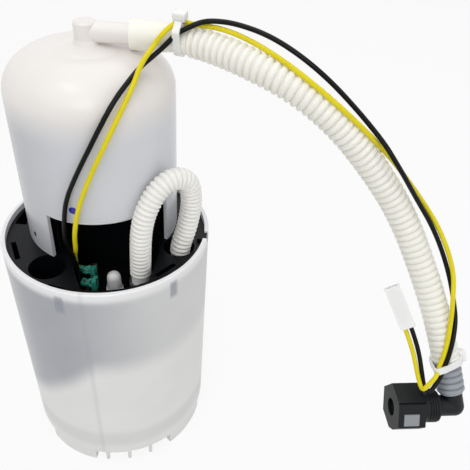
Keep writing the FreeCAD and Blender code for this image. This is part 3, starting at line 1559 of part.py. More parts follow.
def lead(name, crimp, rise, run, fold, side, plug_side):
    outer, inner = [vector(point) for point in crimp]
    aim = (outer - inner).normalize()
    points = [tuple(outer + aim * 0.1), tuple(outer + aim * 2.6), *rise,
              at_tie(UPPER_TIE, -4.0, -side), at_tie(UPPER_TIE, 3.0, -side), *run,
              at_tie(LOWER_TIE, -4.5, side), at_tie(LOWER_TIE, 4.6, side), *fold,
              plug_point(plug_side, -10.0), plug_point(plug_side, 5.0)]
    return hose_solid(name, points, s.lead_radius.value)


def leads():
    rear, front = lead_starts()
    black = lead("black_lead", front, BLACK_RISE, BLACK_RUN, BLACK_FOLD, -1.0, 1.0)
    yellow = lead("yellow_lead", rear, YELLOW_RISE, YELLOW_RUN, YELLOW_FOLD, 1.0, -1.0)
    return black, yellow


def frame_turn(across, along):
    """Axis and angle that bring local X to one direction and local Z to another."""
    along = Vector(*along).normalize()
    side = along.cross(Vector(*across)).normalize()
    turn = FreeCAD.Rotation(side.cross(along), side, along, "ZXY")
    return tuple(turn.Axis), math.degrees(turn.Angle)


def belt(far, near_radius, far_radius):
    """Closed wire that wraps a circle at the origin and another one out along X."""
    lean = math.acos((near_radius - far_radius) / far)
    edges = []
    for centre, radius, first, span in ((0.0, near_radius, lean, 2.0 * (math.pi - lean)),
                                        (far, far_radius, -lean, 2.0 * lean)):
        points = [Vector(centre + radius * math.cos(first + span * share),
                         radius * math.sin(first + span * share), 0) for share in (0.0, 0.5, 1.0)]
        edges.append(Part.Arc(*points).toShape())
    ends = [edge.valueAt(edge.LastParameter) for edge in edges]
    starts = [edge.valueAt(edge.FirstParameter) for edge in edges]
    return Part.Wire([edges[0], Part.makeLine(ends[0], starts[1]), edges[1],
                      Part.makeLine(ends[1], starts[0])])


def cable_tie(name, tie, opposite=False):
    """Band round the hose and both leads, its locking head beside the leads or opposite them."""
    thick, width = s.tie_thickness.value, s.tie_width.value
    hose, reach, lead_room = s.hose_radius.value + 0.15, s.hose_radius.value + 1.4, 3.1
    outer = Part.Face(belt(reach, hose + thick, lead_room + thick)).extrude(Vector(0, 0, width))
    inner = Part.Face(belt(reach, hose, lead_room)).extrude(Vector(0, 0, width))
    edge = hose + thick / 2.0 if opposite else reach + lead_room + thick / 2.0
    box = Part.makeBox(4.0, 5.6, width + 1.6, Vector(edge, -2.8, -0.8))
    tail = Part.makeBox(1.4, 1.2, width - 0.8, Vector(edge + 3.9, -0.6, 0.4))
    if opposite:
        box.rotate(Vector(0, 0, 0), Vector(0, 0, 1), 180.0)
        tail.rotate(Vector(0, 0, 0), Vector(0, 0, 1), 180.0)
    shape = outer.cut(inner).fuse([box, tail])
    shape.translate(Vector(0, 0, -width / 2.0))
    distance, towards = tie
    centre, along = hose_station(distance)
    axis, angle = frame_turn(towards, tuple(along))
    return place(solid(name, shape), tuple(centre), axis, angle)


PLUG_END = (173.6, -49.3, 142.4)
PLUG_ALONG = (-0.44, 0.555, 0.703)
PLUG_ACROSS = (0.876, 0.101, 0.468)
CONTACT_STEP = 1.6


def at_plug(thing):
    axis, angle = frame_turn(PLUG_ACROSS, PLUG_ALONG)
    return place(thing, PLUG_END, axis, angle)


def plug_housing():
    """Two-way housing: lead holes at one end, open cavities at the other."""
    wide, thick, length = s.plug_width.value, s.plug_height.value, s.plug_length.value
    body = Part.makeBox(wide, thick, length, Vector(-wide / 2.0, -thick / 2.0, 0.0))
    latch = Part.makeBox(3.0, 1.2, 9.0, Vector(-1.5, thick / 2.0 - 0.2, length - 13.0))
    body = body.fuse(latch)
    for side in (-1.0, 1.0):
        middle = side * CONTACT_STEP
        hole = Part.makeCylinder(s.lead_radius.value + 0.1, 8.0, Vector(middle, 0, -1.0))
        cavity = Part.makeBox(2.6, 3.6, length, Vector(middle - 1.3, -1.8, 6.0))
        body = body.cut([hole, cavity])
    return at_plug(solid("plug_shape", body))


def plug_contacts():
    """Stamped receptacles, one in each cavity."""
    pieces = []
    for side in (-1.0, 1.0):
        middle = side * CONTACT_STEP
        box = Part.makeBox(2.2, 3.0, 11.0, Vector(middle - 1.1, -1.5, 8.6))
        bore = Part.makeBox(1.4, 2.2, 12.0, Vector(middle - 0.7, -1.1, 9.4))
        pieces.append(box.cut(bore))
    return at_plug(solid("contact_shape", Part.makeCompound(pieces)))


# Quick connector: local X runs from the elbow to the mouth, Z up


ELBOW = (205.9, -66.9, 100.8)
MOUTH_TURN = 186.59
STEM_ALONG = (-0.267, 0.469, 0.84)


def at_mouth(x, y=0.0, z=0.0):
    turn = math.radians(MOUTH_TURN)
    return (ELBOW[0] + x * math.cos(turn) - y * math.sin(turn),
            ELBOW[1] + x * math.sin(turn) + y * math.cos(turn), ELBOW[2] + z)


def mouth_direction():
    turn = math.radians(MOUTH_TURN)
    return (math.cos(turn), math.sin(turn), 0.0)


def head_outline(flats):
    """Hexagon with its flats above and below, one lower corner cut off."""
    half, corner = flats / 2.0, flats * (1.0 / math.sqrt(3.0))
    return [
        (-(corner / 2.0), -half),
        (corner / 2.0 - 2.0, -half),
        (corner * 0.75 - 1.0, -half * 0.5 - 2.0),
        (corner, 0.0),
        (corner / 2.0, half),
        (-(corner / 2.0), half),
        (-corner, 0.0),
    ]


def button_frame():
    """Directions of the release button: out of its face, and along that face."""
    lean, turn = math.radians(30.0), math.radians(MOUTH_TURN)
    out = (-math.sin(turn) * math.cos(lean), math.cos(turn) * math.cos(lean), math.sin(lean))
    return out, mouth_direction()


BUTTON_MIDDLE = 28.9
BUTTON_SHIFT = -2.4
BUTTON_LOW = 8.9
BUTTON_TRAVEL = 2.2


def button_block(name, x_size, y_size, low, high):
    """Block on the button's axis, between two distances from the head's middle."""
    out, along = button_frame()
    axis, angle = frame_turn(along, out)
    body = Part.makeBox(x_size, y_size, high - low, Vector(-x_size / 2.0, -y_size / 2.0, low))
    sideways = Vector(*out).cross(Vector(*along)).normalize() * BUTTON_SHIFT
    start = Vector(*at_mouth(BUTTON_MIDDLE)) + (sideways if sideways.z < 0.0 else sideways * -1.0) * 1.0
    return place(solid(name, body), tuple(start), axis, angle)


def barrel_outline():
    """Outside of the straight arm, from the elbow to the head, with its fine ribs."""
    small, large = s.elbow_radius, s.barrel_radius
    corners = [(0.0, 0.0), (small, 0.0), (small, 8.8), (large, 10.6)]
    for index in range(4):
        start = 11.4 + 1.4 * index
        corners += [(large, start), (large + 0.35, start + 0.2), (large + 0.35, start + 0.6),
                    (large, start + 0.8)]
    return corners + [(large, s.barrel_end + 1.0), (0.0, s.barrel_end + 1.0)]


def cavity_outline():
    """Inside of the straight arm: fluid bore, seal room, pipe bore and retainer groove."""
    pipe, end = s.pipe_radius, s.barrel_end + s.head_length
    return [
        (0.0, 0.0), (FLUID_BORE, 0.0), (FLUID_BORE, 8.0), (pipe, 8.0), (pipe, 12.0),
        (SEAL_CAVITY, 12.0), (SEAL_CAVITY, 22.5), (pipe, 22.5), (pipe, RETAINER_AT - 0.3),
        (RETAINER_ROOM, RETAINER_AT - 0.3), (RETAINER_ROOM, RETAINER_AT + 4.9),
        (pipe, RETAINER_AT + 4.9), (pipe, end + 1.0), (0.0, end + 1.0),
    ]


def connector_body():
    aim, stem = mouth_direction(), STEM_ALONG
    elbow = doc.addObject("Part::Sphere", "elbow_ball")
    bind(elbow, "Radius", s.elbow_radius + 0.02)
    place(elbow, ELBOW)
    head = padded("head_prism", head_outline(s.head_flats), s.head_length,
                  at_mouth(s.barrel_end.value), "YZ_Plane", (0, 0, 1), MOUTH_TURN)
    stem_corners = [(0.0, 0.0), (s.elbow_radius - 0.02, 0.0), (s.elbow_radius - 0.02, 7.6),
                    (s.stem_radius - 0.5, 7.6)]
    for index in range(4):
        start = 8.6 + 5.0 * index
        stem_corners += [(s.stem_radius - 0.5, start), (s.stem_radius, start + 0.6),
                         (s.stem_radius - 0.4, start + 4.6)]
    stem_corners += [(s.stem_radius - 0.6, 30.0), (0.0, 30.0)]
    stock = fuse("connector_stock", elbow, turned("arm", barrel_outline(), ELBOW, aim),
                 turned("stem", stem_corners, ELBOW, stem), head)
    groove = block("head_groove", (s.head_length + 2.0, 1.0, 1.2),
                   at_mouth(s.barrel_end.value - 1.0, s.head_flats.value * 0.26, 11.2), (0, 0, 1),
                   MOUTH_TURN)
    return cut("connector_bored", stock, turned("arm_bore", cavity_outline(), ELBOW, aim),
               cylinder("stem_bore", FLUID_BORE - 0.1, 40.0, ELBOW, stem),
               button_block("button_room", 9.0, 7.0, 5.0, 16.0), groove)


FLUID_BORE = 3.4
RETAINER_AT = 26.4
RETAINER_ROOM = 8.4
SEAL_CAVITY = 7.2


def connector_retainer():
    """Sprung ring with a gap, in the head's groove, flattened below the button."""
    ring_tube = tube_along("retainer_tube", 7.8, 5.5, 4.6, at_mouth(RETAINER_AT), mouth_direction())
    gap = block("retainer_gap", (8.0, 5.0, 10.0), at_mouth(25.0, -2.5, -9.5), (0, 0, 1), MOUTH_TURN)
    flat = button_block("retainer_flat", 9.4, 7.4, BUTTON_LOW - BUTTON_TRAVEL - 0.3, 16.0)
    return cut("retainer_open", ring_tube, gap, flat)


def tube_along(name, outer, inner, height, at, direction):
    aim = Vector(*direction).normalize()
    start = tuple(vector(at) - aim)
    return cut(name, cylinder(name + "_stock", outer, height, at, direction),
               cylinder(name + "_bore", inner, height + 2.0, start, direction))


def release_button():
    return button_block("button", 8.4, 6.4, BUTTON_LOW, 12.6)


def connector_seals():
    aim = mouth_direction()
    section = (SEAL_CAVITY - s.pipe_radius.value) / 2.0
    middle = SEAL_CAVITY - section
    return group("seal_rings", *[ring("seal_ring", middle, section - 0.02, at_mouth(x), aim)
                                 for x in (13.3, 18.9)])


def connector_spacer():
    return tube_along("spacer", SEAL_CAVITY - 0.1, s.pipe_radius + 0.1, 3.0, at_mouth(14.6),
                      mouth_direction())


def connector_bush():
    """Ring that holds the seals in the barrel."""
    return tube_along("bush", SEAL_CAVITY - 0.02, s.pipe_radius + 0.1, 2.0, at_mouth(20.2),
                      mouth_direction())


def export(results):
    """Check every object, then write one file for each sub-part."""
    doc.recompute()
    for thing in doc.Objects:
        if "Invalid" in thing.State or "Error" in thing.State:
            raise RuntimeError("%s failed: %s" % (thing.Name, thing.State))
    os.makedirs("parts", exist_ok=True)
    for label, thing in results.items():
        shape = thing.Shape
        if shape.isNull() or not shape.isValid():
            raise RuntimeError("%s has no valid shape" % label)
        shape.exportStep("parts/%s.step" % label)
        print("%-24s solids %d  volume %.1f" % (label, len(shape.Solids), shape.Volume))


class Named:
    """The sheet's sizes, read by name."""

    def __init__(self, sizes):
        self.__dict__.update(sizes)


s = Named(fill_sheet())

node("reservoir_bowl", reservoir_bowl())
node("foot_valve_disc", foot_valve_disc())
node("pump_carrier", pump_carrier())
node("filter_base", filter_base())
node("filter_dome", filter_dome())
node("rim_seal", rim_seal())
node("riser_seal", riser_seal())
node("filter_element", filter_element())
node("element_bottom_cap", element_bottom_cap())
node("element_top_cap", element_top_cap())
node("neck_seal", neck_seal())
node("element_tube", element_tube())
node("pump_can", pump_can())
node("pump_end_cover", end_cover())
node("pump_inlet_cover", inlet_cover())
node("pump_chamber", pump_chamber())
node("impeller", impeller())
node("rotor_shaft", rotor_shaft())
node("armature_core", armature_core())
node("armature_winding", armature_winding())
node("commutator", commutator())
node("field_magnets", field_magnets())
node("magnet_clips", magnet_clips())
node("lower_bearing", bearing("lower_bush", chamber_low() + s.chamber_height - s.bearing_height))
node("upper_bearing", bearing("upper_bush", upper_bearing_low()))
node("brushes", brushes())
node("brush_springs", brush_springs())
node("check_valve_poppet", check_poppet())
node("check_valve_spring", check_spring())
node("check_valve_stop", valve_stop())
node("relief_valve_ball", relief_ball())
node("relief_valve_spring", relief_spring())
node("relief_valve_cap", relief_cap())
node("pump_terminals", pump_terminals())
node("terminal_crimps", terminal_crimps())
node("upper_isolator", upper_isolator())
node("lower_isolator", lower_isolator())
node("strainer_mesh", strainer_mesh())
node("strainer_neck", strainer_neck())
node("jet_pump_body", jet_body())
node("jet_nozzle", jet_nozzle())
node("jet_feed_hose", jet_feed())
node("short_hose", short_hose())
pump_clamp, socket_clamp = hose_clamps()
node("pump_hose_clamp", pump_clamp)
node("socket_hose_clamp", socket_clamp)
node("main_hose", main_hose())
black_lead, yellow_lead = leads()
node("lead_black", black_lead)
node("lead_yellow", yellow_lead)
node("cable_tie_upper", cable_tie("upper_tie", UPPER_TIE))
node("cable_tie_lower", cable_tie("lower_tie", LOWER_TIE, True))
node("lead_plug_housing", plug_housing())
node("lead_plug_contacts", plug_contacts())
node("connector_body", connector_body())
node("connector_retainer", connector_retainer())
node("release_button", release_button())
node("connector_seals", connector_seals())
node("connector_spacer", connector_spacer())
node("connector_bush", connector_bush())
export(nodes)
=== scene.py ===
import math
import bmesh
import bpy
from mathutils import Matrix, Vector, noise


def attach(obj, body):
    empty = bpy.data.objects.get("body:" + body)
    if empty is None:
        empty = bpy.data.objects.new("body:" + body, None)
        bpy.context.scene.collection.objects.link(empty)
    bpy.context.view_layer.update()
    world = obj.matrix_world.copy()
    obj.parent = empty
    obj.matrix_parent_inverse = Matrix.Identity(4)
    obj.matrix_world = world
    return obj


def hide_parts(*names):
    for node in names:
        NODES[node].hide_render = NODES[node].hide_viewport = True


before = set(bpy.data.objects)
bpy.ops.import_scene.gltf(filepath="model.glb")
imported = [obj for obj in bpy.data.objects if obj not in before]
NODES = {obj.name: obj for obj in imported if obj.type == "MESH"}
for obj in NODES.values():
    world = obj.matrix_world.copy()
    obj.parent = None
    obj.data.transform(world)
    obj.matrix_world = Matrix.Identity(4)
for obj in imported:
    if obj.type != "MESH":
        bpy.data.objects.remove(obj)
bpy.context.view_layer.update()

MM = 0.001

# Camera: it looks along +Y from above the module, rolled a few degrees. Place and lens are in millimetres,
# turns in degrees, and what is near and far in metres.
CAMERA_PLACE = (75.916, -270.148, 372.623)
CAMERA_TILT = 51.64
CAMERA_ROLL = 4.137
CAMERA_LENS = 44.42
SENSOR_WIDTH = 36.0
CAMERA_NEAR, CAMERA_FAR = 0.01, 20.0

# Routes of the hoses and leads, in millimetres, and their lengths and diameters, in metres.
MAIN_ROUTE = (
    (18.0, 11.6, 270.3), (41.0, 11.4, 270.2), (62.0, 1.0, 269.8), (84.0, -11.8, 266.4),
    (104.0, -18.4, 258.8), (124.0, -21.2, 244.2), (143.0, -21.6, 223.2), (160.0, -23.8, 201.6),
    (176.0, -31.0, 174.4), (194.13, -46.23, 137.82), (203.63, -62.91, 107.95),
)
SHORT_ROUTE = (
    (23.9, -28.1, 134.8), (24.3, -27.9, 160.0), (26.3, -28.4, 186.0), (33.0, -22.5, 201.0),
    (41.0, -15.5, 206.0), (48.8, -8.0, 201.0), (50.8, -5.6, 186.0), (48.4, -7.6, 169.0),
    (43.8, -10.6, 154.0), (43.8, -10.6, 139.3),
)
BLACK_ROUTE = (
    (-9.6, -30.99, 141.01), (-12.05, -30.65, 141.35), (-10.4, -32.2, 148.5), (-9.8, -33.2, 156.5),
    (-14, -34.4, 173), (-13, -34.6, 186), (-10, -35.4, 201), (-3, -35.7, 216.5), (5.5, -35, 233),
    (12, -32.5, 245.5), (17, -27.5, 254), (21.5, -19.5, 259), (25, -7.5, 261.5), (31, 0.5, 265),
    (36.5, 1.5, 270), (41.5, 3, 275.5), (46, 2.5, 278), (52, 3.5, 281), (58, 6, 281.5), (69, 3, 282),
    (84, -4.5, 280.5), (98.5, -10.5, 275), (113.5, -15.5, 266), (129, -18.5, 253), (143, -24.5, 240.5),
    (149, -30, 234), (156, -30.5, 225), (164, -27.5, 213.5), (179.5, -27.5, 193), (190.5, -34.5, 173),
    (197.5, -42, 154), (198, -49.5, 148), (196.5, -58.5, 137), (193.5, -65, 123), (190.5, -68.5, 119),
    (188, -71, 116.5), (185, -70, 116.5), (184, -66.5, 119.8), (179.4, -54.7, 136.1), (172.8, -46.4, 146.7),
)
YELLOW_ROUTE = (
    (-12.6, -20.99, 143.02), (-15.03, -20.66, 143.51), (-13.6, -23.4, 148), (-12.6, -27, 157),
    (-9, -34, 168), (-7.5, -37.5, 180), (-5, -38, 192), (-1.5, -38, 203.5), (5.5, -37.5, 220),
    (14.5, -34.5, 238.5), (22, -25, 253.5), (24.5, -18.5, 259), (26.5, -10, 265), (30.5, 1, 269),
    (36, 0.5, 277), (42.5, 8, 280), (48, 6.5, 279), (54.5, 7, 278.5), (64, 4, 278.5), (77, -3, 276.5),
    (91.5, -14.5, 273), (106, -22, 266), (121.5, -25, 255.5), (136, -24.5, 243.5), (144, -21, 235),
    (152, -20.5, 227.5), (168, -23, 210.5), (182.5, -28, 193.5), (193, -35.5, 174), (193.5, -45.5, 162),
    (194.5, -51, 149.5), (194, -58, 136), (192, -62, 127), (189.5, -68, 126), (184.5, -73, 125),
    (182, -74, 120.5), (181.5, -67, 120), (176.6, -55, 134.6), (170, -46.7, 145.2),
)
BLACK_LENGTH = 0.489
YELLOW_LENGTH = 0.488
LEAD_DIAMETER = 0.0025


def linear(code):
    """sRGB hex code to a linear colour with alpha."""
    channels = [int(code[at:at + 2], 16) / 255.0 for at in (1, 3, 5)]
    return tuple(c / 12.92 if c <= 0.04045 else ((c + 0.055) / 1.055) ** 2.4 for c in channels) + (1.0,)


def add(tree, kind, inputs=None, out=0, **settings):
    """Add a node, set its properties, give its sockets values or links, and return one output."""
    made = tree.nodes.new(kind)
    for name, value in settings.items():
        setattr(made, name, value)
    for key, value in (inputs or {}).items():
        if isinstance(value, bpy.types.NodeSocket):
            tree.links.new(value, made.inputs[key])
        else:
            made.inputs[key].default_value = value
    return made.outputs[out] if made.outputs else made


# Sockets and settings of a Mix node that blends two colours, and the settings of a soft change.
SHARE, LOW, HIGH = 0, 6, 7
COLOUR_MIX = {"out": 2, "data_type": "RGBA"}
SOFT = {"interpolation_type": "SMOOTHSTEP"}


def new_finish(name):
    """Empty material with an output, and the object's own coordinates in metres."""
    made = bpy.data.materials.new(name)
    made.use_nodes = True
    tree = made.node_tree
    tree.nodes.clear()
    return made, tree, add(tree, "ShaderNodeTexCoord", out="Object")


def close_finish(tree, colour, rough, relief, depth_mm, sockets):
    """Shader with its colour, roughness and relief, joined to the output."""
    bump = add(tree, "ShaderNodeBump", {"Height": relief, "Distance": depth_mm * MM, "Strength": 1.0})
    inputs = {"Base Color": colour, "Roughness": rough, "Normal": bump, **sockets}
    shader = add(tree, "ShaderNodeBsdfPrincipled", inputs)
    add(tree, "ShaderNodeOutputMaterial", {"Surface": shader})


# How far a plain finish's roughness goes to either side.
GLOSS_SWING = 0.06


def plain_finish(name, dark, light, rough, cloud_mm=18.0, grain_mm=0.8, depth_mm=0.01, **sockets):
    """Slightly clouded colour, uneven gloss and a fine grain."""
    made, tree, place = new_finish(name)
    cloud = add(tree, "ShaderNodeTexNoise", {"Vector": place, "Scale": 1.0 / (cloud_mm * MM), "Detail": 3.0})
    grain = add(tree, "ShaderNodeTexNoise", {"Vector": place, "Scale": 1.0 / (grain_mm * MM), "Detail": 2.0})
    colour = add(tree, "ShaderNodeMix", {SHARE: cloud, LOW: linear(dark), HIGH: linear(light)}, **COLOUR_MIX)
    gloss = add(tree, "ShaderNodeMapRange", {"Value": cloud, "To Min": rough - GLOSS_SWING,
                                             "To Max": rough + GLOSS_SWING})
    sockets = {key.replace("_", " "): value for key, value in sockets.items()}
    close_finish(tree, colour, gloss, grain, depth_mm, sockets)
    return made


# Bowl: heights and places, in millimetres, of its painted shade where the black skirt lies behind the wall,
# of the painted highlight along its rim, of a streak and of a painted shade band near its foot. The skirt's
# lower edge is a slope from one point (across, height) to another, level from there on.
SKIRT_LEFT, SKIRT_FRONT = (-58.0, 42.0), (2.0, 100.0)
SKIRT_SLOPE = (SKIRT_FRONT[1] - SKIRT_LEFT[1]) / (SKIRT_FRONT[0] - SKIRT_LEFT[0])
SKIRT_EDGE = (-10.0, 10.0)
SKIRT_TOP = (150.0, 159.0)
SKIRT_TO_RIGHT = (-20.0, 52.0)
SKIRT_TO_LEFT = (-56.0, -34.0)
RIM_HIGHLIGHT_BAND = (152.0, 158.0)
STREAK_ACROSS, STREAK_HALF, STREAK_STRENGTH = -1.4, 2.5, 0.16
STEP_HEIGHT, STEP_SHADE_BAND, STEP_SHADE_STRENGTH = 26.0, (3.0, 11.0), 0.3

# Latches behind the wall, shown as painted shade: bearings in degrees, and in millimetres their middle
# height, half sizes and the spans over which their painted grey fades. Then its strength, and the wall's
# inner and outer radius there.
LATCH_BEARINGS = (-154.0, -103.0, -42.0, 26.0, 77.0, 138.0)
LATCH_MIDDLE = 149.8
LATCH_HALF_WIDTH, LATCH_HALF_HEIGHT = 2.6, 6.2
LATCH_FADE_WIDTH, LATCH_FADE_HEIGHT, LATCH_FADE_DEPTH = (1.2, 3.4), (3.5, 7.5), (30.0, 50.0)
LATCH_SHADE_STRENGTH = 0.75
WALL_INSIDE, WALL_OUTSIDE = 58.7, 59.78


def latch_shadow(tree, place, height, bearing):
    """How strongly a latch shows through the wall as painted shade: a soft upright patch at one bearing."""
    turn = math.radians(bearing)
    outward = (math.cos(turn), math.sin(turn), 0.0)
    sideways = (-math.sin(turn), math.cos(turn), 0.0)
    beside = add(tree, "ShaderNodeVectorMath", {0: place, 1: sideways}, out="Value", operation="DOT_PRODUCT")
    facing = add(tree, "ShaderNodeVectorMath", {0: place, 1: outward}, out="Value", operation="DOT_PRODUCT")
    beside = add(tree, "ShaderNodeMath", {0: beside}, operation="ABSOLUTE")
    above = add(tree, "ShaderNodeMath", {0: height, 1: LATCH_MIDDLE * MM}, operation="SUBTRACT")
    above = add(tree, "ShaderNodeMath", {0: above}, operation="ABSOLUTE")
    wide = add(tree, "ShaderNodeMapRange", {"Value": beside, "From Min": LATCH_FADE_WIDTH[0] * MM,
                                            "From Max": LATCH_FADE_WIDTH[1] * MM,
                                            "To Min": 1.0, "To Max": 0.0}, **SOFT)
    tall = add(tree, "ShaderNodeMapRange", {"Value": above, "From Min": LATCH_FADE_HEIGHT[0] * MM,
                                            "From Max": LATCH_FADE_HEIGHT[1] * MM,
                                            "To Min": 1.0, "To Max": 0.0}, **SOFT)
    deep = add(tree, "ShaderNodeMapRange", {"Value": facing, "From Min": LATCH_FADE_DEPTH[0] * MM,
                                            "From Max": LATCH_FADE_DEPTH[1] * MM, "To Max": LATCH_SHADE_STRENGTH})
    patch = add(tree, "ShaderNodeMath", {0: wide, 1: tall}, operation="MULTIPLY")
    return add(tree, "ShaderNodeMath", {0: patch, 1: deep}, operation="MULTIPLY")


def bowl_finish():
    """Blow-moulded natural polyethylene: milky, with painted shade where the black carrier's skirt and
    latches lie behind the wall and near the foot, and a painted highlight along the rim.
    """
    made, tree, place = new_finish("natural_polyethylene")
    split = add(tree, "ShaderNodeSeparateXYZ", {0: place}, out=0).node
    across, height = split.outputs[0], split.outputs[2]
    # Painted shade: soft grey where the black skirt lies behind the wall, fading towards the rim, weaker to
    # the right and at the far left.
    foot = (SKIRT_FRONT[1] - SKIRT_SLOPE * SKIRT_FRONT[0]) * MM
    slope = add(tree, "ShaderNodeMath", {0: across, 1: SKIRT_SLOPE, 2: foot}, operation="MULTIPLY_ADD")
    edge = add(tree, "ShaderNodeMath", {0: slope, 1: SKIRT_FRONT[1] * MM}, operation="MINIMUM")
    over = add(tree, "ShaderNodeMath", {0: height, 1: edge}, operation="SUBTRACT")
    skirt = add(tree, "ShaderNodeMapRange", {"Value": over, "From Min": SKIRT_EDGE[0] * MM,
                                             "From Max": SKIRT_EDGE[1] * MM}, **SOFT)
    fades = ((height, SKIRT_TOP, 1.0, 0.0), (across, SKIRT_TO_RIGHT, 1.0, 0.3),
             (across, SKIRT_TO_LEFT, 0.5, 1.0))
    for value, span, before, after in fades:
        fade = add(tree, "ShaderNodeMapRange", {"Value": value, "From Min": span[0] * MM,
                                                "From Max": span[1] * MM,
                                                "To Min": before, "To Max": after}, **SOFT)
        skirt = add(tree, "ShaderNodeMath", {0: skirt, 1: fade}, operation="MULTIPLY")
    cloud = add(tree, "ShaderNodeTexNoise", {"Vector": place, "Scale": 1.0 / (30.0 * MM), "Detail": 2.0})
    milky = add(tree, "ShaderNodeMix", {SHARE: cloud, LOW: linear("#E6E6E4"), HIGH: linear("#EFEFED")},
                **COLOUR_MIX)
    grey = add(tree, "ShaderNodeMix", {SHARE: cloud, LOW: linear("#A2A4AB"), HIGH: linear("#B2B4BA")},
               **COLOUR_MIX)
    colour = add(tree, "ShaderNodeMix", {SHARE: skirt, LOW: milky, HIGH: grey}, **COLOUR_MIX)
    # Painted highlight: a whiter band along the rim.
    rim = add(tree, "ShaderNodeMapRange", {"Value": height, "From Min": RIM_HIGHLIGHT_BAND[0] * MM,
                                           "From Max": RIM_HIGHLIGHT_BAND[1] * MM}, **SOFT)
    beside = add(tree, "ShaderNodeMath", {0: across, 1: STREAK_ACROSS * MM}, operation="SUBTRACT")
    beside = add(tree, "ShaderNodeMath", {0: beside}, operation="ABSOLUTE")
    streak = add(tree, "ShaderNodeMapRange", {"Value": beside, "From Max": STREAK_HALF * MM,
                                              "To Min": STREAK_STRENGTH, "To Max": 0.0}, **SOFT)
    # Painted shade: a grey band round the step near the foot.
    low = add(tree, "ShaderNodeMath", {0: height, 1: STEP_HEIGHT * MM}, operation="SUBTRACT")
    low = add(tree, "ShaderNodeMath", {0: low}, operation="ABSOLUTE")
    band = add(tree, "ShaderNodeMapRange", {"Value": low, "From Min": STEP_SHADE_BAND[0] * MM,
                                            "From Max": STEP_SHADE_BAND[1] * MM,
                                            "To Min": STEP_SHADE_STRENGTH, "To Max": 0.0}, **SOFT)
    # Blended in: the painted highlight at the rim, the streak, each latch's painted shade and the painted
    # shade band.
    tones = [(rim, "#F5F5F7"), (streak, "#9A9CA2")]
    tones += [(latch_shadow(tree, place, height, bearing), "#9093A0") for bearing in LATCH_BEARINGS]
    tones += [(band, "#BFC0C2")]
    for share, code in tones:
        colour = add(tree, "ShaderNodeMix", {SHARE: share, LOW: colour, HIGH: linear(code)}, **COLOUR_MIX)
    grain = add(tree, "ShaderNodeTexNoise", {"Vector": place, "Scale": 1.0 / (1.2 * MM), "Detail": 2.0})
    rough = add(tree, "ShaderNodeMapRange", {"Value": cloud, "To Min": 0.36, "To Max": 0.46})
    close_finish(tree, colour, rough, grain, 0.012, {"IOR": 1.51})
    return made


# Dome: its coloured dot, the painted shade at the dark end of its slit, and the spans of its painted light on
# top and its painted shade to the left, in millimetres.
BLUE_DOT = (-8.1, -32.3, 192.6)
BLUE_DOT_EDGE = (2.05, 2.35)
SLIT_SHADE = (-36.3, -18.9, 164.2)
SLIT_SHADE_EDGE = (1.2, 1.9)
LIT_TOP_SPAN, SIDE_SHADE_SPAN = (226.0, 248.0), (-44.0, 6.0)


def dome_finish():
    """Injection-moulded acetal, half gloss, with painted light: creamy on top, where the filter lies behind
    it; and painted shade: greyer below, darkest to the left.
    """
    made, tree, place = new_finish("moulded_acetal")
    split = add(tree, "ShaderNodeSeparateXYZ", {0: place}, out=0).node
    cloud = add(tree, "ShaderNodeTexNoise", {"Vector": place, "Scale": 1.0 / (40.0 * MM), "Detail": 2.0})
    # Painted light: creamier and lighter towards the top.
    cream = add(tree, "ShaderNodeMapRange", {"Value": split.outputs[2], "From Min": LIT_TOP_SPAN[0] * MM,
                                             "From Max": LIT_TOP_SPAN[1] * MM}, **SOFT)
    # Painted shade: greyer towards the left.
    across = add(tree, "ShaderNodeMapRange", {"Value": split.outputs[0], "From Min": SIDE_SHADE_SPAN[0] * MM,
                                              "From Max": SIDE_SHADE_SPAN[1] * MM}, **SOFT)
    shaded_left_colour, right, lit_top_colour = [
        add(tree, "ShaderNodeMix", {SHARE: cloud, LOW: linear(dark), HIGH: linear(light)}, **COLOUR_MIX)
        for dark, light in (("#BCBEC3", "#C5C7CB"), ("#D4D6DC", "#DEE0E5"), ("#ECE7E3", "#F4F1EE"))]
    low = add(tree, "ShaderNodeMix", {SHARE: across, LOW: shaded_left_colour, HIGH: right}, **COLOUR_MIX)
    colour = add(tree, "ShaderNodeMix", {SHARE: cream, LOW: low, HIGH: lit_top_colour}, **COLOUR_MIX)
    # The blue dot is paint; the dark end of the slit is painted shade.
    dot_and_slit_shade = ((BLUE_DOT, BLUE_DOT_EDGE, 1.0, "#1F22B4"), (SLIT_SHADE, SLIT_SHADE_EDGE, 0.85, "#23264A"))
    for middle, edge, strength, code in dot_and_slit_shade:
        gap = add(tree, "ShaderNodeVectorMath", {0: place, 1: tuple(c * MM for c in middle)}, out="Value",
                  operation="DISTANCE")
        dot_and_shade_share = add(tree, "ShaderNodeMapRange", {"Value": gap, "From Min": edge[0] * MM,
                                                "From Max": edge[1] * MM,
                                                "To Min": strength, "To Max": 0.0}, **SOFT)
        colour = add(tree, "ShaderNodeMix", {SHARE: dot_and_shade_share, LOW: colour, HIGH: linear(code)}, **COLOUR_MIX)
    grain = add(tree, "ShaderNodeTexNoise", {"Vector": place, "Scale": 1.0 / (1.5 * MM), "Detail": 2.0})
    rough = add(tree, "ShaderNodeMapRange", {"Value": cloud, "To Min": 0.2, "To Max": 0.27})
    close_finish(tree, colour, rough, grain, 0.008, {"IOR": 1.48})
    return made


# Stretch of the outlet hose, in millimetres from its start, where painted shade turns it grey over the black
# stem.
HOSE_STEM_SHADE = (264.5, 268.0)


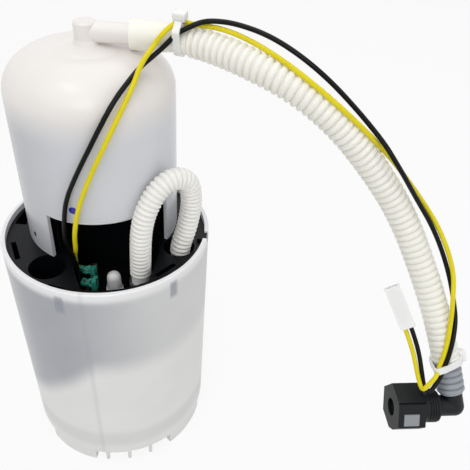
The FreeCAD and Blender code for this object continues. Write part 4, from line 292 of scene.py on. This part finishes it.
def hose_finish(name, warm, cool, stem_shade_mm=None):
    """Extruded, corrugated polyamide: off-white, with painted shade in the folds, and grey painted shade
    where a stem lies under it.
    """
    made, tree, place = new_finish(name)
    cloud = add(tree, "ShaderNodeTexNoise", {"Vector": place, "Scale": 1.0 / (14.0 * MM), "Detail": 3.0})
    colour = add(tree, "ShaderNodeMix", {SHARE: cloud, LOW: linear(warm), HIGH: linear(cool)}, **COLOUR_MIX)
    fold = add(tree, "ShaderNodeAttribute", out="Fac", attribute_name="fold")
    # Painted shade: darker in the valleys between the folds.
    colour = add(tree, "ShaderNodeMix", {SHARE: fold, LOW: linear("#EEECE2"), HIGH: colour}, **COLOUR_MIX)
    if stem_shade_mm is not None:
        along = add(tree, "ShaderNodeAttribute", out="Fac", attribute_name="along")
        over = add(tree, "ShaderNodeMapRange", {"Value": along, "From Min": stem_shade_mm[0] * MM,
                                                "From Max": stem_shade_mm[1] * MM}, **SOFT)
        # Painted shade: grey where the black stem lies under the hose.
        stem = add(tree, "ShaderNodeMix", {SHARE: fold, LOW: linear("#5E656C"), HIGH: linear("#9AA1A8")},
                   **COLOUR_MIX)
        colour = add(tree, "ShaderNodeMix", {SHARE: over, LOW: colour, HIGH: stem}, **COLOUR_MIX)
    grain = add(tree, "ShaderNodeTexNoise", {"Vector": place, "Scale": 1.0 / (0.9 * MM), "Detail": 2.0})
    rough = add(tree, "ShaderNodeMapRange", {"Value": cloud, "To Min": 0.34, "To Max": 0.44})
    close_finish(tree, colour, rough, grain, 0.01, {"IOR": 1.53})
    return made


def lead_finish(name, dark, light, rough):
    """Extruded fluoropolymer insulation: smooth, half gloss, with a faint grain."""
    return plain_finish(name, dark, light, rough, cloud_mm=9.0, grain_mm=0.5, depth_mm=0.006, IOR=1.40,
                        Specular_IOR_Level=0.25)


def lacquer_finish():
    """Brushed-on insulating lacquer: teal green, glossy, thin in places so that brown shows through."""
    made, tree, place = new_finish("green_insulating_lacquer")
    patch = add(tree, "ShaderNodeTexNoise", {"Vector": place, "Scale": 1.0 / (2.6 * MM), "Detail": 3.0})
    bare = add(tree, "ShaderNodeMapRange", {"Value": patch, "From Min": 0.54, "From Max": 0.6})
    green = add(tree, "ShaderNodeMix", {SHARE: patch, LOW: linear("#1A8175"), HIGH: linear("#4FC7AE")},
                **COLOUR_MIX)
    colour = add(tree, "ShaderNodeMix", {SHARE: bare, LOW: green, HIGH: linear("#4A3325")}, **COLOUR_MIX)
    rough = add(tree, "ShaderNodeMapRange", {"Value": patch, "To Min": 0.12, "To Max": 0.32})
    close_finish(tree, colour, rough, patch, 0.12, {"IOR": 1.5})
    return made


def metal_finish(name, dark, light, rough, grain_mm=0.6, depth_mm=0.004):
    """Metal with small differences in tone and gloss and a very fine grain."""
    return plain_finish(name, dark, light, rough, cloud_mm=8.0, grain_mm=grain_mm, depth_mm=depth_mm,
                        Metallic=1.0)


# Pitch of the screen's weave, coarser than the real one so that it shows.
WEAVE_PITCH = 0.9


def cloth_finish():
    """Woven polyamide screen: fine square weave."""
    made, tree, place = new_finish("woven_polyamide_screen")
    split = add(tree, "ShaderNodeSeparateXYZ", {0: place}, out=0).node
    waves = []
    for axis in (0, 1):
        angle = add(tree, "ShaderNodeMath", {0: split.outputs[axis], 1: math.tau / (WEAVE_PITCH * MM)},
                    operation="MULTIPLY")
        waves.append(add(tree, "ShaderNodeMath", {0: angle}, operation="SINE"))
    weave = add(tree, "ShaderNodeMath", {0: waves[0], 1: waves[1]}, operation="MAXIMUM")
    share = add(tree, "ShaderNodeMapRange", {"Value": weave, "From Min": -1.0, "From Max": 1.0})
    colour = add(tree, "ShaderNodeMix", {SHARE: share, LOW: linear("#B9B6A8"), HIGH: linear("#EFEDE4")},
                 **COLOUR_MIX)
    close_finish(tree, colour, 0.7, share, 0.1, {})
    return made


def paper_finish():
    """Resin-treated filter paper: pale yellow, matt and fibrous."""
    return plain_finish("resin_treated_paper", "#D9CDA6", "#E9DFC0", 0.85, cloud_mm=4.0, grain_mm=0.4,
                        depth_mm=0.05)


def give(finish, *names):
    """Put a finish on CAD nodes."""
    for name in names:
        mesh = NODES[name].data
        mesh.materials.clear()
        mesh.materials.append(finish)


def dress_nodes():
    """Every node that stays gets the finish of the real piece. Returns the ties' finish."""
    # Moulded acetal coloured with carbon black: near black, half gloss, with weak highlights.
    carrier = plain_finish("carbon_black_acetal", "#07080B", "#0E1014", 0.34, cloud_mm=25.0, grain_mm=1.0,
                           depth_mm=0.012, IOR=1.48, Specular_IOR_Level=0.18)
    # Moulded polyamide with glass fibre: black, duller, with a fine grain.
    connector = plain_finish("glass_filled_polyamide", "#0B0D10", "#14171B", 0.46, cloud_mm=6.0, grain_mm=0.5,
                             depth_mm=0.02, IOR=1.53, Specular_IOR_Level=0.22)
    # Moulded polyamide and acetal without filler: white, cream and grey, half gloss.
    white = plain_finish("white_polyamide", "#F2F2F1", "#FAFAF9", 0.38, IOR=1.53)
    cream = plain_finish("natural_acetal", "#DEDCD2", "#ECEAE2", 0.36, IOR=1.48)
    grey = plain_finish("grey_polyamide", "#85888B", "#96999C", 0.45, grain_mm=0.5, depth_mm=0.02, IOR=1.53)
    # Thin unfilled polyamide: glossy and milky, because some light goes in.
    clear = plain_finish("translucent_polyamide", "#F3F3F0", "#FBFBF9", 0.24, cloud_mm=7.0, IOR=1.53,
                         Subsurface_Weight=0.4, Subsurface_Radius=(1.0, 0.95, 0.9), Subsurface_Scale=0.003)
    # Moulded nitrile rubber: dark and matt.
    rubber = plain_finish("nitrile_rubber", "#17171A", "#232326", 0.62, grain_mm=0.4, depth_mm=0.03, IOR=1.52)
    # Metals: plated sheet is a soft grey, spring wire brighter, enamelled copper wire red-brown, drawn brass
    # yellow, and sintered bronze brown and dull.
    steel = metal_finish("zinc_plated_steel", "#A9ABAD", "#C8CACC", 0.34)
    bright = metal_finish("spring_steel", "#8F9296", "#B5B8BC", 0.25)
    copper = metal_finish("enamelled_copper", "#8A4A26", "#B8703F", 0.3)
    brass = metal_finish("drawn_brass", "#A98A48", "#C9AA62", 0.28)
    bronze = metal_finish("sintered_bronze", "#8C6A3C", "#A98450", 0.5, grain_mm=0.3, depth_mm=0.03)
    # Sintered ferrite and pressed carbon are dark and matt, and stacked sheet steel is a dull grey.
    ferrite = plain_finish("sintered_ferrite", "#3A3C40", "#4A4C50", 0.6, grain_mm=0.3, depth_mm=0.03,
                           IOR=1.8)
    carbon = plain_finish("pressed_carbon", "#1A1A1C", "#29292B", 0.55, IOR=1.6)
    laminated = metal_finish("laminated_steel", "#6E7276", "#8A8E92", 0.45)
    milky = bowl_finish()
    give(milky, "reservoir_bowl")
    latch_covers(milky)
    give(dome_finish(), "filter_dome")
    give(carrier, "pump_carrier", "pump_inlet_cover", "pump_end_cover", "jet_nozzle", "impeller",
         "pump_chamber")
    give(connector, "connector_body", "connector_spacer")
    # The small cap stands in the carrier's shade: white, with painted light that lifts it to full white, and
    # some light goes in.
    painted_light_white = plain_finish("painted_light_white_polyamide", "#FDFDFC", "#FFFFFF", 0.3, cloud_mm=7.0, IOR=1.53,
                                Subsurface_Weight=0.5, Subsurface_Radius=(1.0, 0.97, 0.94),
                                Subsurface_Scale=0.004)
    give(painted_light_white, "relief_valve_cap")
    give(white, "filter_base", "element_bottom_cap", "element_top_cap", "element_tube", "strainer_neck",
         "check_valve_stop", "jet_pump_body")
    give(cream, "check_valve_poppet", "connector_bush", "jet_feed_hose", "connector_retainer")
    give(grey, "release_button")
    give(clear, "lead_plug_housing")
    give(rubber, "foot_valve_disc", "rim_seal", "riser_seal", "neck_seal", "upper_isolator", "lower_isolator",
         "connector_seals")
    give(steel, "pump_can", "pump_hose_clamp", "socket_hose_clamp", "magnet_clips")
    give(bright, "rotor_shaft", "brush_springs", "check_valve_spring", "relief_valve_spring",
         "relief_valve_ball")
    give(copper, "armature_winding", "commutator")
    give(brass, "pump_terminals", "lead_plug_contacts")
    give(bronze, "lower_bearing", "upper_bearing")
    give(ferrite, "field_magnets")
    give(carbon, "brushes")
    give(laminated, "armature_core")
    give(paper_finish(), "filter_element")
    give(cloth_finish(), "strainer_mesh")
    lacquer = lacquer_finish()
    give(lacquer, "terminal_crimps")
    lumpy_lacquer(lacquer)
    return clear


# Steps from one control point of a curve to the next.
CURVE_STEPS = 24


def spline_of(name, route):
    """Curve object with one smooth spline through a route's control points."""
    data = bpy.data.curves.new(name, "CURVE")
    data.dimensions = "3D"
    spline = data.splines.new("NURBS")
    spline.points.add(len(route) - 1)
    for point, place in zip(spline.points, route):
        point.co = (place[0] * MM, place[1] * MM, place[2] * MM, 1.0)
    spline.order_u = 3
    spline.use_endpoint_u = True
    spline.resolution_u = CURVE_STEPS
    data.resolution_u = CURVE_STEPS
    made = bpy.data.objects.new(name, data)
    bpy.context.scene.collection.objects.link(made)
    return made


def line_of(curve):
    """Points along a curve, in metres."""
    mesh = bpy.data.meshes.new_from_object(curve)
    points = [tuple(vertex.co) for vertex in mesh.vertices]
    bpy.data.meshes.remove(mesh)
    return points


# Sizes that the hose's tree takes: a plain cuff, a cone and a neck, the folds' crest and root, the root at
# the last fold, the folds' pitch, and a plain end.
HOSE_SIZES = ("Cuff Length", "Cuff Radius", "Cone Length", "Neck Length", "Neck Radius",
              "Crest", "Root", "Last Root", "Pitch", "End Length", "End Radius")
STEPS_PER_FOLD = 12.0
STEPS_ROUND_HOSE = 48
FOLD_ROUNDNESS = 0.65


def hose_tree():
    """Corrugated hose along a curve: cuff, cone and neck, then folds, then a plain end."""
    tree = bpy.data.node_groups.new("corrugated_hose", "GeometryNodeTree")
    tree.interface.new_socket("Curve", in_out="INPUT", socket_type="NodeSocketGeometry")
    for name in HOSE_SIZES:
        tree.interface.new_socket(name, in_out="INPUT", socket_type="NodeSocketFloat")
    tree.interface.new_socket("Finish", in_out="INPUT", socket_type="NodeSocketMaterial")
    tree.interface.new_socket("Mesh", in_out="OUTPUT", socket_type="NodeSocketGeometry")
    given = add(tree, "NodeGroupInput").node.outputs
    step = add(tree, "ShaderNodeMath", {0: given["Pitch"], 1: STEPS_PER_FOLD}, operation="DIVIDE")
    curve = add(tree, "GeometryNodeResampleCurve", {"Curve": given["Curve"], "Length": step}, mode="LENGTH")
    along = add(tree, "GeometryNodeSplineParameter", out="Length")
    whole = add(tree, "GeometryNodeSplineLength", out="Length")
    cone_end = add(tree, "ShaderNodeMath", {0: given["Cuff Length"], 1: given["Cone Length"]},
                   operation="ADD")
    cuff = add(tree, "ShaderNodeMapRange", {"Value": along, "From Min": given["Cuff Length"],
                                            "From Max": cone_end, "To Min": given["Cuff Radius"],
                                            "To Max": given["Neck Radius"]}, interpolation_type="SMOOTHSTEP")
    first = add(tree, "ShaderNodeMath", {0: cone_end, 1: given["Neck Length"]}, operation="ADD")
    past = add(tree, "ShaderNodeMath", {0: along, 1: first}, operation="SUBTRACT")
    turns = add(tree, "ShaderNodeMath", {0: past, 1: given["Pitch"]}, operation="DIVIDE")
    angle = add(tree, "ShaderNodeMath", {0: turns, 1: math.pi}, operation="MULTIPLY")
    wave = add(tree, "ShaderNodeMath", {0: angle}, operation="SINE")
    wave = add(tree, "ShaderNodeMath", {0: wave}, operation="ABSOLUTE")
    wave = add(tree, "ShaderNodeMath", {0: wave, 1: FOLD_ROUNDNESS}, operation="POWER")
    last = add(tree, "ShaderNodeMath", {0: whole, 1: given["End Length"]}, operation="SUBTRACT")
    root = add(tree, "ShaderNodeMapRange", {"Value": along, "From Min": first, "From Max": last,
                                            "To Min": given["Root"], "To Max": given["Last Root"]})
    fold = add(tree, "ShaderNodeMapRange", {"Value": wave, "To Min": root, "To Max": given["Crest"]})
    is_fold = add(tree, "ShaderNodeMath", {0: along, 1: first}, operation="GREATER_THAN")
    is_end = add(tree, "ShaderNodeMath", {0: along, 1: last}, operation="GREATER_THAN")
    radius = add(tree, "ShaderNodeMix", {0: is_fold, 2: cuff, 3: fold})
    radius = add(tree, "ShaderNodeMix", {0: is_end, 2: radius, 3: given["End Radius"]})
    # The folds' share, stored as fold, which the finish turns into painted shade in the valleys.
    shade = add(tree, "ShaderNodeMix", {0: is_fold, 2: 1.0, 3: wave})
    shade = add(tree, "ShaderNodeMix", {0: is_end, 2: shade, 3: 1.0})
    curve = add(tree, "GeometryNodeStoreNamedAttribute", {"Geometry": curve, "Name": "fold", "Value": shade},
                data_type="FLOAT", domain="POINT")
    curve = add(tree, "GeometryNodeStoreNamedAttribute", {"Geometry": curve, "Name": "along", "Value": along},
                data_type="FLOAT", domain="POINT")
    ring = add(tree, "GeometryNodeCurvePrimitiveCircle", {"Resolution": STEPS_ROUND_HOSE, "Radius": 1.0})
    tube = add(tree, "GeometryNodeCurveToMesh", {"Curve": curve, "Profile Curve": ring, "Scale": radius,
                                                 "Fill Caps": True})
    tube = add(tree, "GeometryNodeRealizeInstances", {"Geometry": tube})
    tube = add(tree, "GeometryNodeSetShadeSmooth", {"Geometry": tube, "Shade Smooth": True})
    tube = add(tree, "GeometryNodeSetMaterial", {"Geometry": tube, "Material": given["Finish"]})
    add(tree, "NodeGroupOutput", {"Mesh": tube})
    return tree


def grow(name, curve, tree, sizes, finish):
    """Run a tree on a curve and keep its result as a plain mesh."""
    modifier = curve.modifiers.new("growth", "NODES")
    modifier.node_group = tree
    for item in tree.interface.items_tree:
        if item.in_out == "INPUT" and item.name in sizes:
            modifier[item.identifier] = sizes[item.name] * MM
        if item.name == "Finish":
            modifier[item.identifier] = finish
    shown = curve.evaluated_get(bpy.context.evaluated_depsgraph_get())
    mesh = bpy.data.meshes.new_from_object(shown)
    bpy.data.objects.remove(curve)
    mesh.name = name
    made = bpy.data.objects.new(name, mesh)
    bpy.context.scene.collection.objects.link(made)
    face_outward(mesh)
    return made


def face_outward(mesh):
    work = bmesh.new()
    work.from_mesh(mesh)
    bmesh.ops.recalc_face_normals(work, faces=work.faces)
    work.to_mesh(mesh)
    work.free()


# Sizes of the outlet hose and of the pump's short hose, in millimetres.
MAIN_SIZES = {"Cuff Length": 14.0, "Cuff Radius": 7.4, "Cone Length": 8.0, "Neck Length": 8.0,
              "Neck Radius": 6.45, "Crest": 7.6, "Root": 5.7, "Last Root": 6.9, "Pitch": 3.7,
              "End Length": 1.5, "End Radius": 6.6}
SHORT_SIZES = {"Cuff Length": 12.5, "Cuff Radius": 5.2, "Cone Length": 0.8, "Neck Length": 0.2,
               "Neck Radius": 5.0, "Crest": 6.0, "Root": 4.7, "Last Root": 4.8, "Pitch": 2.65,
               "End Length": 12.5, "End Radius": 5.2}


# How finely a lead's section is rounded.
LEAD_ROUNDNESS = 5


def lead_cord(name, route, finish):
    """Lead as a thick curve, and the points of its middle line."""
    made = spline_of(name, route)
    line = line_of(made)
    made.data.bevel_depth = LEAD_DIAMETER / 2.0
    made.data.bevel_resolution = LEAD_ROUNDNESS
    made.data.use_fill_caps = True
    made.data.materials.append(finish)
    return made, line


# Ties: how far along the hose each sits, the hose's radius under it, and where round the hose its head is.
UPPER_TIE_AT, LOWER_TIE_AT = 25.2, 266.5
UPPER_TIE_RADIUS, LOWER_TIE_RADIUS = 6.6, 7.65
UPPER_HEAD_TURN, LOWER_HEAD_TURN = 80.0, 165.0


def make_hoses_and_leads(clear):
    tree = hose_tree()
    main_curve = spline_of("outlet_hose_line", MAIN_ROUTE)
    main_line = line_of(main_curve)
    cream = hose_finish("corrugated_polyamide", "#F8F6EB", "#FCFBF4", HOSE_STEM_SHADE)
    white = hose_finish("white_corrugated_polyamide", "#F6F5F2", "#FCFBF9")
    outlet = grow("outlet_hose", main_curve, tree, MAIN_SIZES, cream)
    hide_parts("main_hose")
    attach(outlet, "pump_module")
    short = grow("pump_hose", spline_of("pump_hose_line", SHORT_ROUTE), tree, SHORT_SIZES, white)
    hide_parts("short_hose")
    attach(short, "pump_module")
    jet = lead_finish("black_lead_insulation", "#020203", "#070809", 0.3)
    lemon = lead_finish("yellow_lead_insulation", "#DECC0C", "#EFE028", 0.3)
    black, black_line = lead_cord("black_lead", BLACK_ROUTE, jet)
    yellow, yellow_line = lead_cord("yellow_lead", YELLOW_ROUTE, lemon)
    for lead, node, route, length in ((black, "lead_black", BLACK_ROUTE, BLACK_LENGTH),
                                      (yellow, "lead_yellow", YELLOW_ROUTE, YELLOW_LENGTH)):
        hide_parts(node)
        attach(lead, "pump_module")
    lines = (main_line, black_line, yellow_line)
    ties = [tight_tie("upper_tie", "cable_tie_upper", UPPER_TIE_AT, UPPER_TIE_RADIUS, UPPER_HEAD_TURN,
                      lines, clear),
            tight_tie("lower_tie", "cable_tie_lower", LOWER_TIE_AT, LOWER_TIE_RADIUS, LOWER_HEAD_TURN,
                      lines, clear)]


def station(points, distance):
    """Point and direction of a line at a distance from its start, in metres."""
    walked = 0.0
    for first, second in zip(points, points[1:]):
        step = Vector(second) - Vector(first)
        if walked + step.length >= distance:
            return Vector(first) + step.normalized() * (distance - walked), step.normalized()
        walked += step.length
    return Vector(points[-1]), step.normalized()


# How far from a tie, in metres, a lead's crossing with the tie's plane may lie.
CROSSING_REACH = 0.02


def crossing(points, centre, along):
    """Where a line crosses the plane through a point, near that point."""
    for first, second in zip(points, points[1:]):
        before = (Vector(first) - centre).dot(along)
        after = (Vector(second) - centre).dot(along)
        if before * after <= 0.0 and (Vector(first) - centre).length < CROSSING_REACH:
            return Vector(first).lerp(Vector(second), before / (before - after))
    return centre


def hull(points):
    """Convex outline of flat points, anticlockwise."""
    points = sorted(points)
    chains = []
    for row in (points, points[::-1]):
        chain = []
        for point in row:
            while len(chain) > 1 and turn_of(chain[-2], chain[-1], point) <= 0.0:
                chain.pop()
            chain.append(point)
        chains += chain[:-1]
    return chains


def turn_of(first, second, third):
    return ((second[0] - first[0]) * (third[1] - first[1])
            - (second[1] - first[1]) * (third[0] - first[0]))


# Tie: its band, its head (along the band, across it, outward), how far outside the band the head's middle
# sits as a share of its height, the head's rounding, the play round the leads, and steps round a circle.
TIE_WIDTH, TIE_THICKNESS = 3.6 * MM, 1.2 * MM
TIE_HEAD = (5.4 * MM, 6.6 * MM, 4.4 * MM)
TIE_HEAD_OUT, TIE_HEAD_ROUNDING = 0.35, 0.6 * MM
TIE_CLEARANCE = 0.1 * MM
TIE_STEPS = 72


def tight_tie(name, node, distance, hose_radius, head_turn, lines, finish):
    """Tie drawn tight round the hose and both leads, with its locking head."""
    centre, along = station(lines[0], distance * MM)
    across = along.cross(Vector((0.0, 0.0, 1.0))).normalized()
    upward = across.cross(along)
    circles = [(Vector((0.0, 0.0, 0.0)), hose_radius * MM)]
    for line in lines[1:]:
        circles.append((crossing(line, centre, along) - centre, LEAD_DIAMETER / 2.0 + TIE_CLEARANCE))
    flat = []
    for middle, radius in circles:
        for index in range(TIE_STEPS):
            angle = math.tau * index / TIE_STEPS
            flat.append((middle.dot(across) + radius * math.cos(angle),
                         middle.dot(upward) + radius * math.sin(angle)))
    work = bmesh.new()
    rings = []
    outline = hull(flat)
    for point in outline:
        inner = across * point[0] + upward * point[1]
        outer = inner + inner.normalized() * TIE_THICKNESS
        rings.append([work.verts.new(centre + base + along * shift * TIE_WIDTH / 2.0)
                      for base, shift in ((inner, -1.0), (inner, 1.0), (outer, 1.0), (outer, -1.0))])
    for first, second in zip(rings, rings[1:] + rings[:1]):
        for side in range(4):
            work.faces.new((first[side], first[side - 1], second[side - 1], second[side]))
    away = across * math.cos(math.radians(head_turn)) + upward * math.sin(math.radians(head_turn))
    reach = max(away.dot(across * p[0] + upward * p[1]) for p in outline) + TIE_HEAD[2] * TIE_HEAD_OUT
    turned = Matrix((along.cross(away), along, away)).transposed().to_4x4()
    turned = Matrix.Translation(centre + away * reach) @ turned
    made = bmesh.ops.create_cube(work, size=1.0, matrix=turned @ Matrix.Diagonal((*TIE_HEAD, 1.0)))
    edges = list({edge for vertex in made["verts"] for edge in vertex.link_edges})
    bmesh.ops.bevel(work, geom=edges, offset=TIE_HEAD_ROUNDING, segments=2, affect="EDGES", profile=0.5)
    bmesh.ops.recalc_face_normals(work, faces=work.faces)
    made = solid_piece(name, work, finish)
    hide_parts(node)
    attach(made, "pump_module")
    return made


def solid_piece(name, work, finish):
    mesh = bpy.data.meshes.new(name)
    work.to_mesh(mesh)
    work.free()
    mesh.materials.append(finish)
    made = bpy.data.objects.new(name, mesh)
    bpy.context.scene.collection.objects.link(made)
    return made


# Latch covers: columns across one, the play round it and how far the wall's draft leads its ends in or out.
COVER_COLUMNS = 9
COVER_PLAY = 0.05
COVER_DRAFT = 0.06


def latch_covers(finish):
    """Thin milky wall in front of each latch, level with the bowl's outside."""
    work = bmesh.new()
    half_turn = (LATCH_HALF_WIDTH - COVER_PLAY) / WALL_OUTSIDE
    half_height = LATCH_HALF_HEIGHT - COVER_PLAY
    corners = ((WALL_INSIDE, -1.0), (WALL_OUTSIDE, -1.0), (WALL_OUTSIDE, 1.0), (WALL_INSIDE, 1.0))
    for bearing in LATCH_BEARINGS:
        columns = []
        for index in range(COVER_COLUMNS):
            turn = math.radians(bearing) + (2.0 * index / (COVER_COLUMNS - 1) - 1.0) * half_turn
            column = []
            for reach, side in corners:
                outside = reach + side * COVER_DRAFT
                place = Vector((outside * math.cos(turn), outside * math.sin(turn),
                                LATCH_MIDDLE + side * half_height))
                column.append(work.verts.new(place * MM))
            columns.append(column)
        for first, second in zip(columns, columns[1:]):
            for side in range(4):
                work.faces.new((first[side - 1], first[side], second[side], second[side - 1]))
        work.faces.new(columns[0])
        work.faces.new(columns[-1][::-1])
    bmesh.ops.recalc_face_normals(work, faces=work.faces)
    made = solid_piece("latch_covers", work, finish)
    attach(made, "pump_module")


# Lacquer: middle and half sizes of each lump, and the fineness and depth of its bumps.
LACQUER_SPOTS = (((-5.2, -32.0, 142.0), (4.4, 2.3, 2.0)), ((-7.8, -22.0, 142.4), (4.4, 2.3, 2.0)))
LACQUER_BUMPS = ((0.5, 1.9), (1.5, 0.8))


def lumpy_lacquer(finish):
    """Lumps of brushed-on lacquer over the two terminals."""
    work = bmesh.new()
    for middle, size in LACQUER_SPOTS:
        shift = Matrix.Translation(Vector(middle) * MM) @ Matrix.Diagonal((*size, 1.0)).to_4x4()
        made = bmesh.ops.create_icosphere(work, subdivisions=5, radius=MM, matrix=shift)
        for vertex in made["verts"]:
            away = (vertex.co - Vector(middle) * MM).normalized()
            for fineness, depth in LACQUER_BUMPS:
                vertex.co += away * noise.noise(vertex.co / MM * fineness) * depth * MM
    for face in work.faces:
        face.smooth = True
    made = solid_piece("terminal_lacquer", work, finish)
    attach(made, "pump_module")


# Stage: sizes and places in metres, the floor's patches per metre, powers in watts, and the rest as shares.
FLOOR_HALF = 6.0
FLOOR_PATCHES = 6.0
FLOOR_GLOW = 0.88
SKY_LIGHT, SKY_SEEN = 0.5, 1.0
LAMP_AIM = (0.06, -0.02, 0.16)
ROUND_LAMPS = (
    ("key_lamp", (-0.3, -0.7, 1.3), 1.6, 5.1),
    ("front_lamp", (0.05, -0.8, 0.8), 0.4, 0.9),
    ("fill_lamp", (1.1, -0.8, 0.7), 1.4, 2.5),
    ("top_lamp", (0.1, 0.5, 1.4), 1.4, 4.0),
)
STRIP_LAMP = ("strip_lamp", (-0.345, -0.237, 1.387), 0.55, 0.8, 0.02)


def seen_share(tree):
    """One on camera, glossy and transmission rays, and nought on the others."""
    ray = add(tree, "ShaderNodeLightPath", out="Is Camera Ray").node
    seen = ray.outputs["Is Camera Ray"]
    for name in ("Is Glossy Ray", "Is Transmission Ray"):
        seen = add(tree, "ShaderNodeMath", {0: seen, 1: ray.outputs[name]}, operation="MAXIMUM")
    return seen


def floor_finish():
    """White paint, lit evenly where the camera sees it, so that only the soft shadow shows."""
    made, tree, place = new_finish("white_floor")
    cloud = add(tree, "ShaderNodeTexNoise", {"Vector": place, "Scale": FLOOR_PATCHES, "Detail": 2.0})
    colour = add(tree, "ShaderNodeMix", {SHARE: cloud, LOW: linear("#E9E9E9"), HIGH: linear("#ECECEC")},
                 **COLOUR_MIX)
    matt = add(tree, "ShaderNodeBsdfDiffuse", {"Color": colour})
    glow = add(tree, "ShaderNodeEmission", {"Color": (1.0, 1.0, 1.0, 1.0), "Strength": 1.0})
    share = add(tree, "ShaderNodeMath", {0: seen_share(tree), 1: FLOOR_GLOW}, operation="MULTIPLY")
    mixed = add(tree, "ShaderNodeMixShader", {0: share, 1: matt, 2: glow})
    add(tree, "ShaderNodeOutputMaterial", {"Surface": mixed})
    return made


def set_stage():
    """White floor under the feet, a white world, and large soft lamps."""
    mesh = bpy.data.meshes.new("floor")
    corners = ((-1.0, -1.0), (1.0, -1.0), (1.0, 1.0), (-1.0, 1.0))
    mesh.from_pydata([(x * FLOOR_HALF, y * FLOOR_HALF, 0.0) for x, y in corners], [], [(0, 1, 2, 3)])
    floor = bpy.data.objects.new("floor", mesh)
    floor.data.materials.append(floor_finish())
    bpy.context.scene.collection.objects.link(floor)
    world = bpy.data.worlds.new("studio")
    bpy.context.scene.world = world
    world.use_nodes = True
    tree = world.node_tree
    tree.nodes.clear()
    level = add(tree, "ShaderNodeMapRange", {"Value": seen_share(tree), "To Min": SKY_LIGHT,
                                             "To Max": SKY_SEEN})
    sky = add(tree, "ShaderNodeBackground", {"Color": (1.0, 1.0, 1.0, 1.0), "Strength": level})
    add(tree, "ShaderNodeOutputWorld", {"Surface": sky})
    for lamp in ROUND_LAMPS:
        add_lamp(*lamp)
    add_lamp(*STRIP_LAMP)


def add_lamp(name, place, size, power, depth=None):
    """Round lamp, or a strip where it has a depth, aimed at the module."""
    data = bpy.data.lights.new(name, "AREA")
    data.shape = "RECTANGLE" if depth else "DISK"
    data.size = size
    if depth:
        data.size_y = depth
    data.energy = power
    lamp = bpy.data.objects.new(name, data)
    lamp.location = place
    lamp.rotation_euler = (Vector(LAMP_AIM) - Vector(place)).to_track_quat("-Z", "Y").to_euler()
    bpy.context.scene.collection.objects.link(lamp)


def set_camera():
    data = bpy.data.cameras.new("camera")
    data.lens = CAMERA_LENS
    data.sensor_width = SENSOR_WIDTH
    data.clip_start, data.clip_end = CAMERA_NEAR, CAMERA_FAR
    camera = bpy.data.objects.new("camera", data)
    tilt = Matrix.Rotation(math.radians(CAMERA_TILT), 4, "X")
    roll = Matrix.Rotation(math.radians(CAMERA_ROLL), 4, "Z")
    camera.matrix_world = Matrix.Translation(Vector(CAMERA_PLACE) * MM) @ tilt @ roll
    bpy.context.scene.collection.objects.link(camera)
    bpy.context.scene.camera = camera
    bpy.context.scene.view_settings.view_transform = "Standard"


set_camera()
set_stage()
make_hoses_and_leads(dress_nodes())
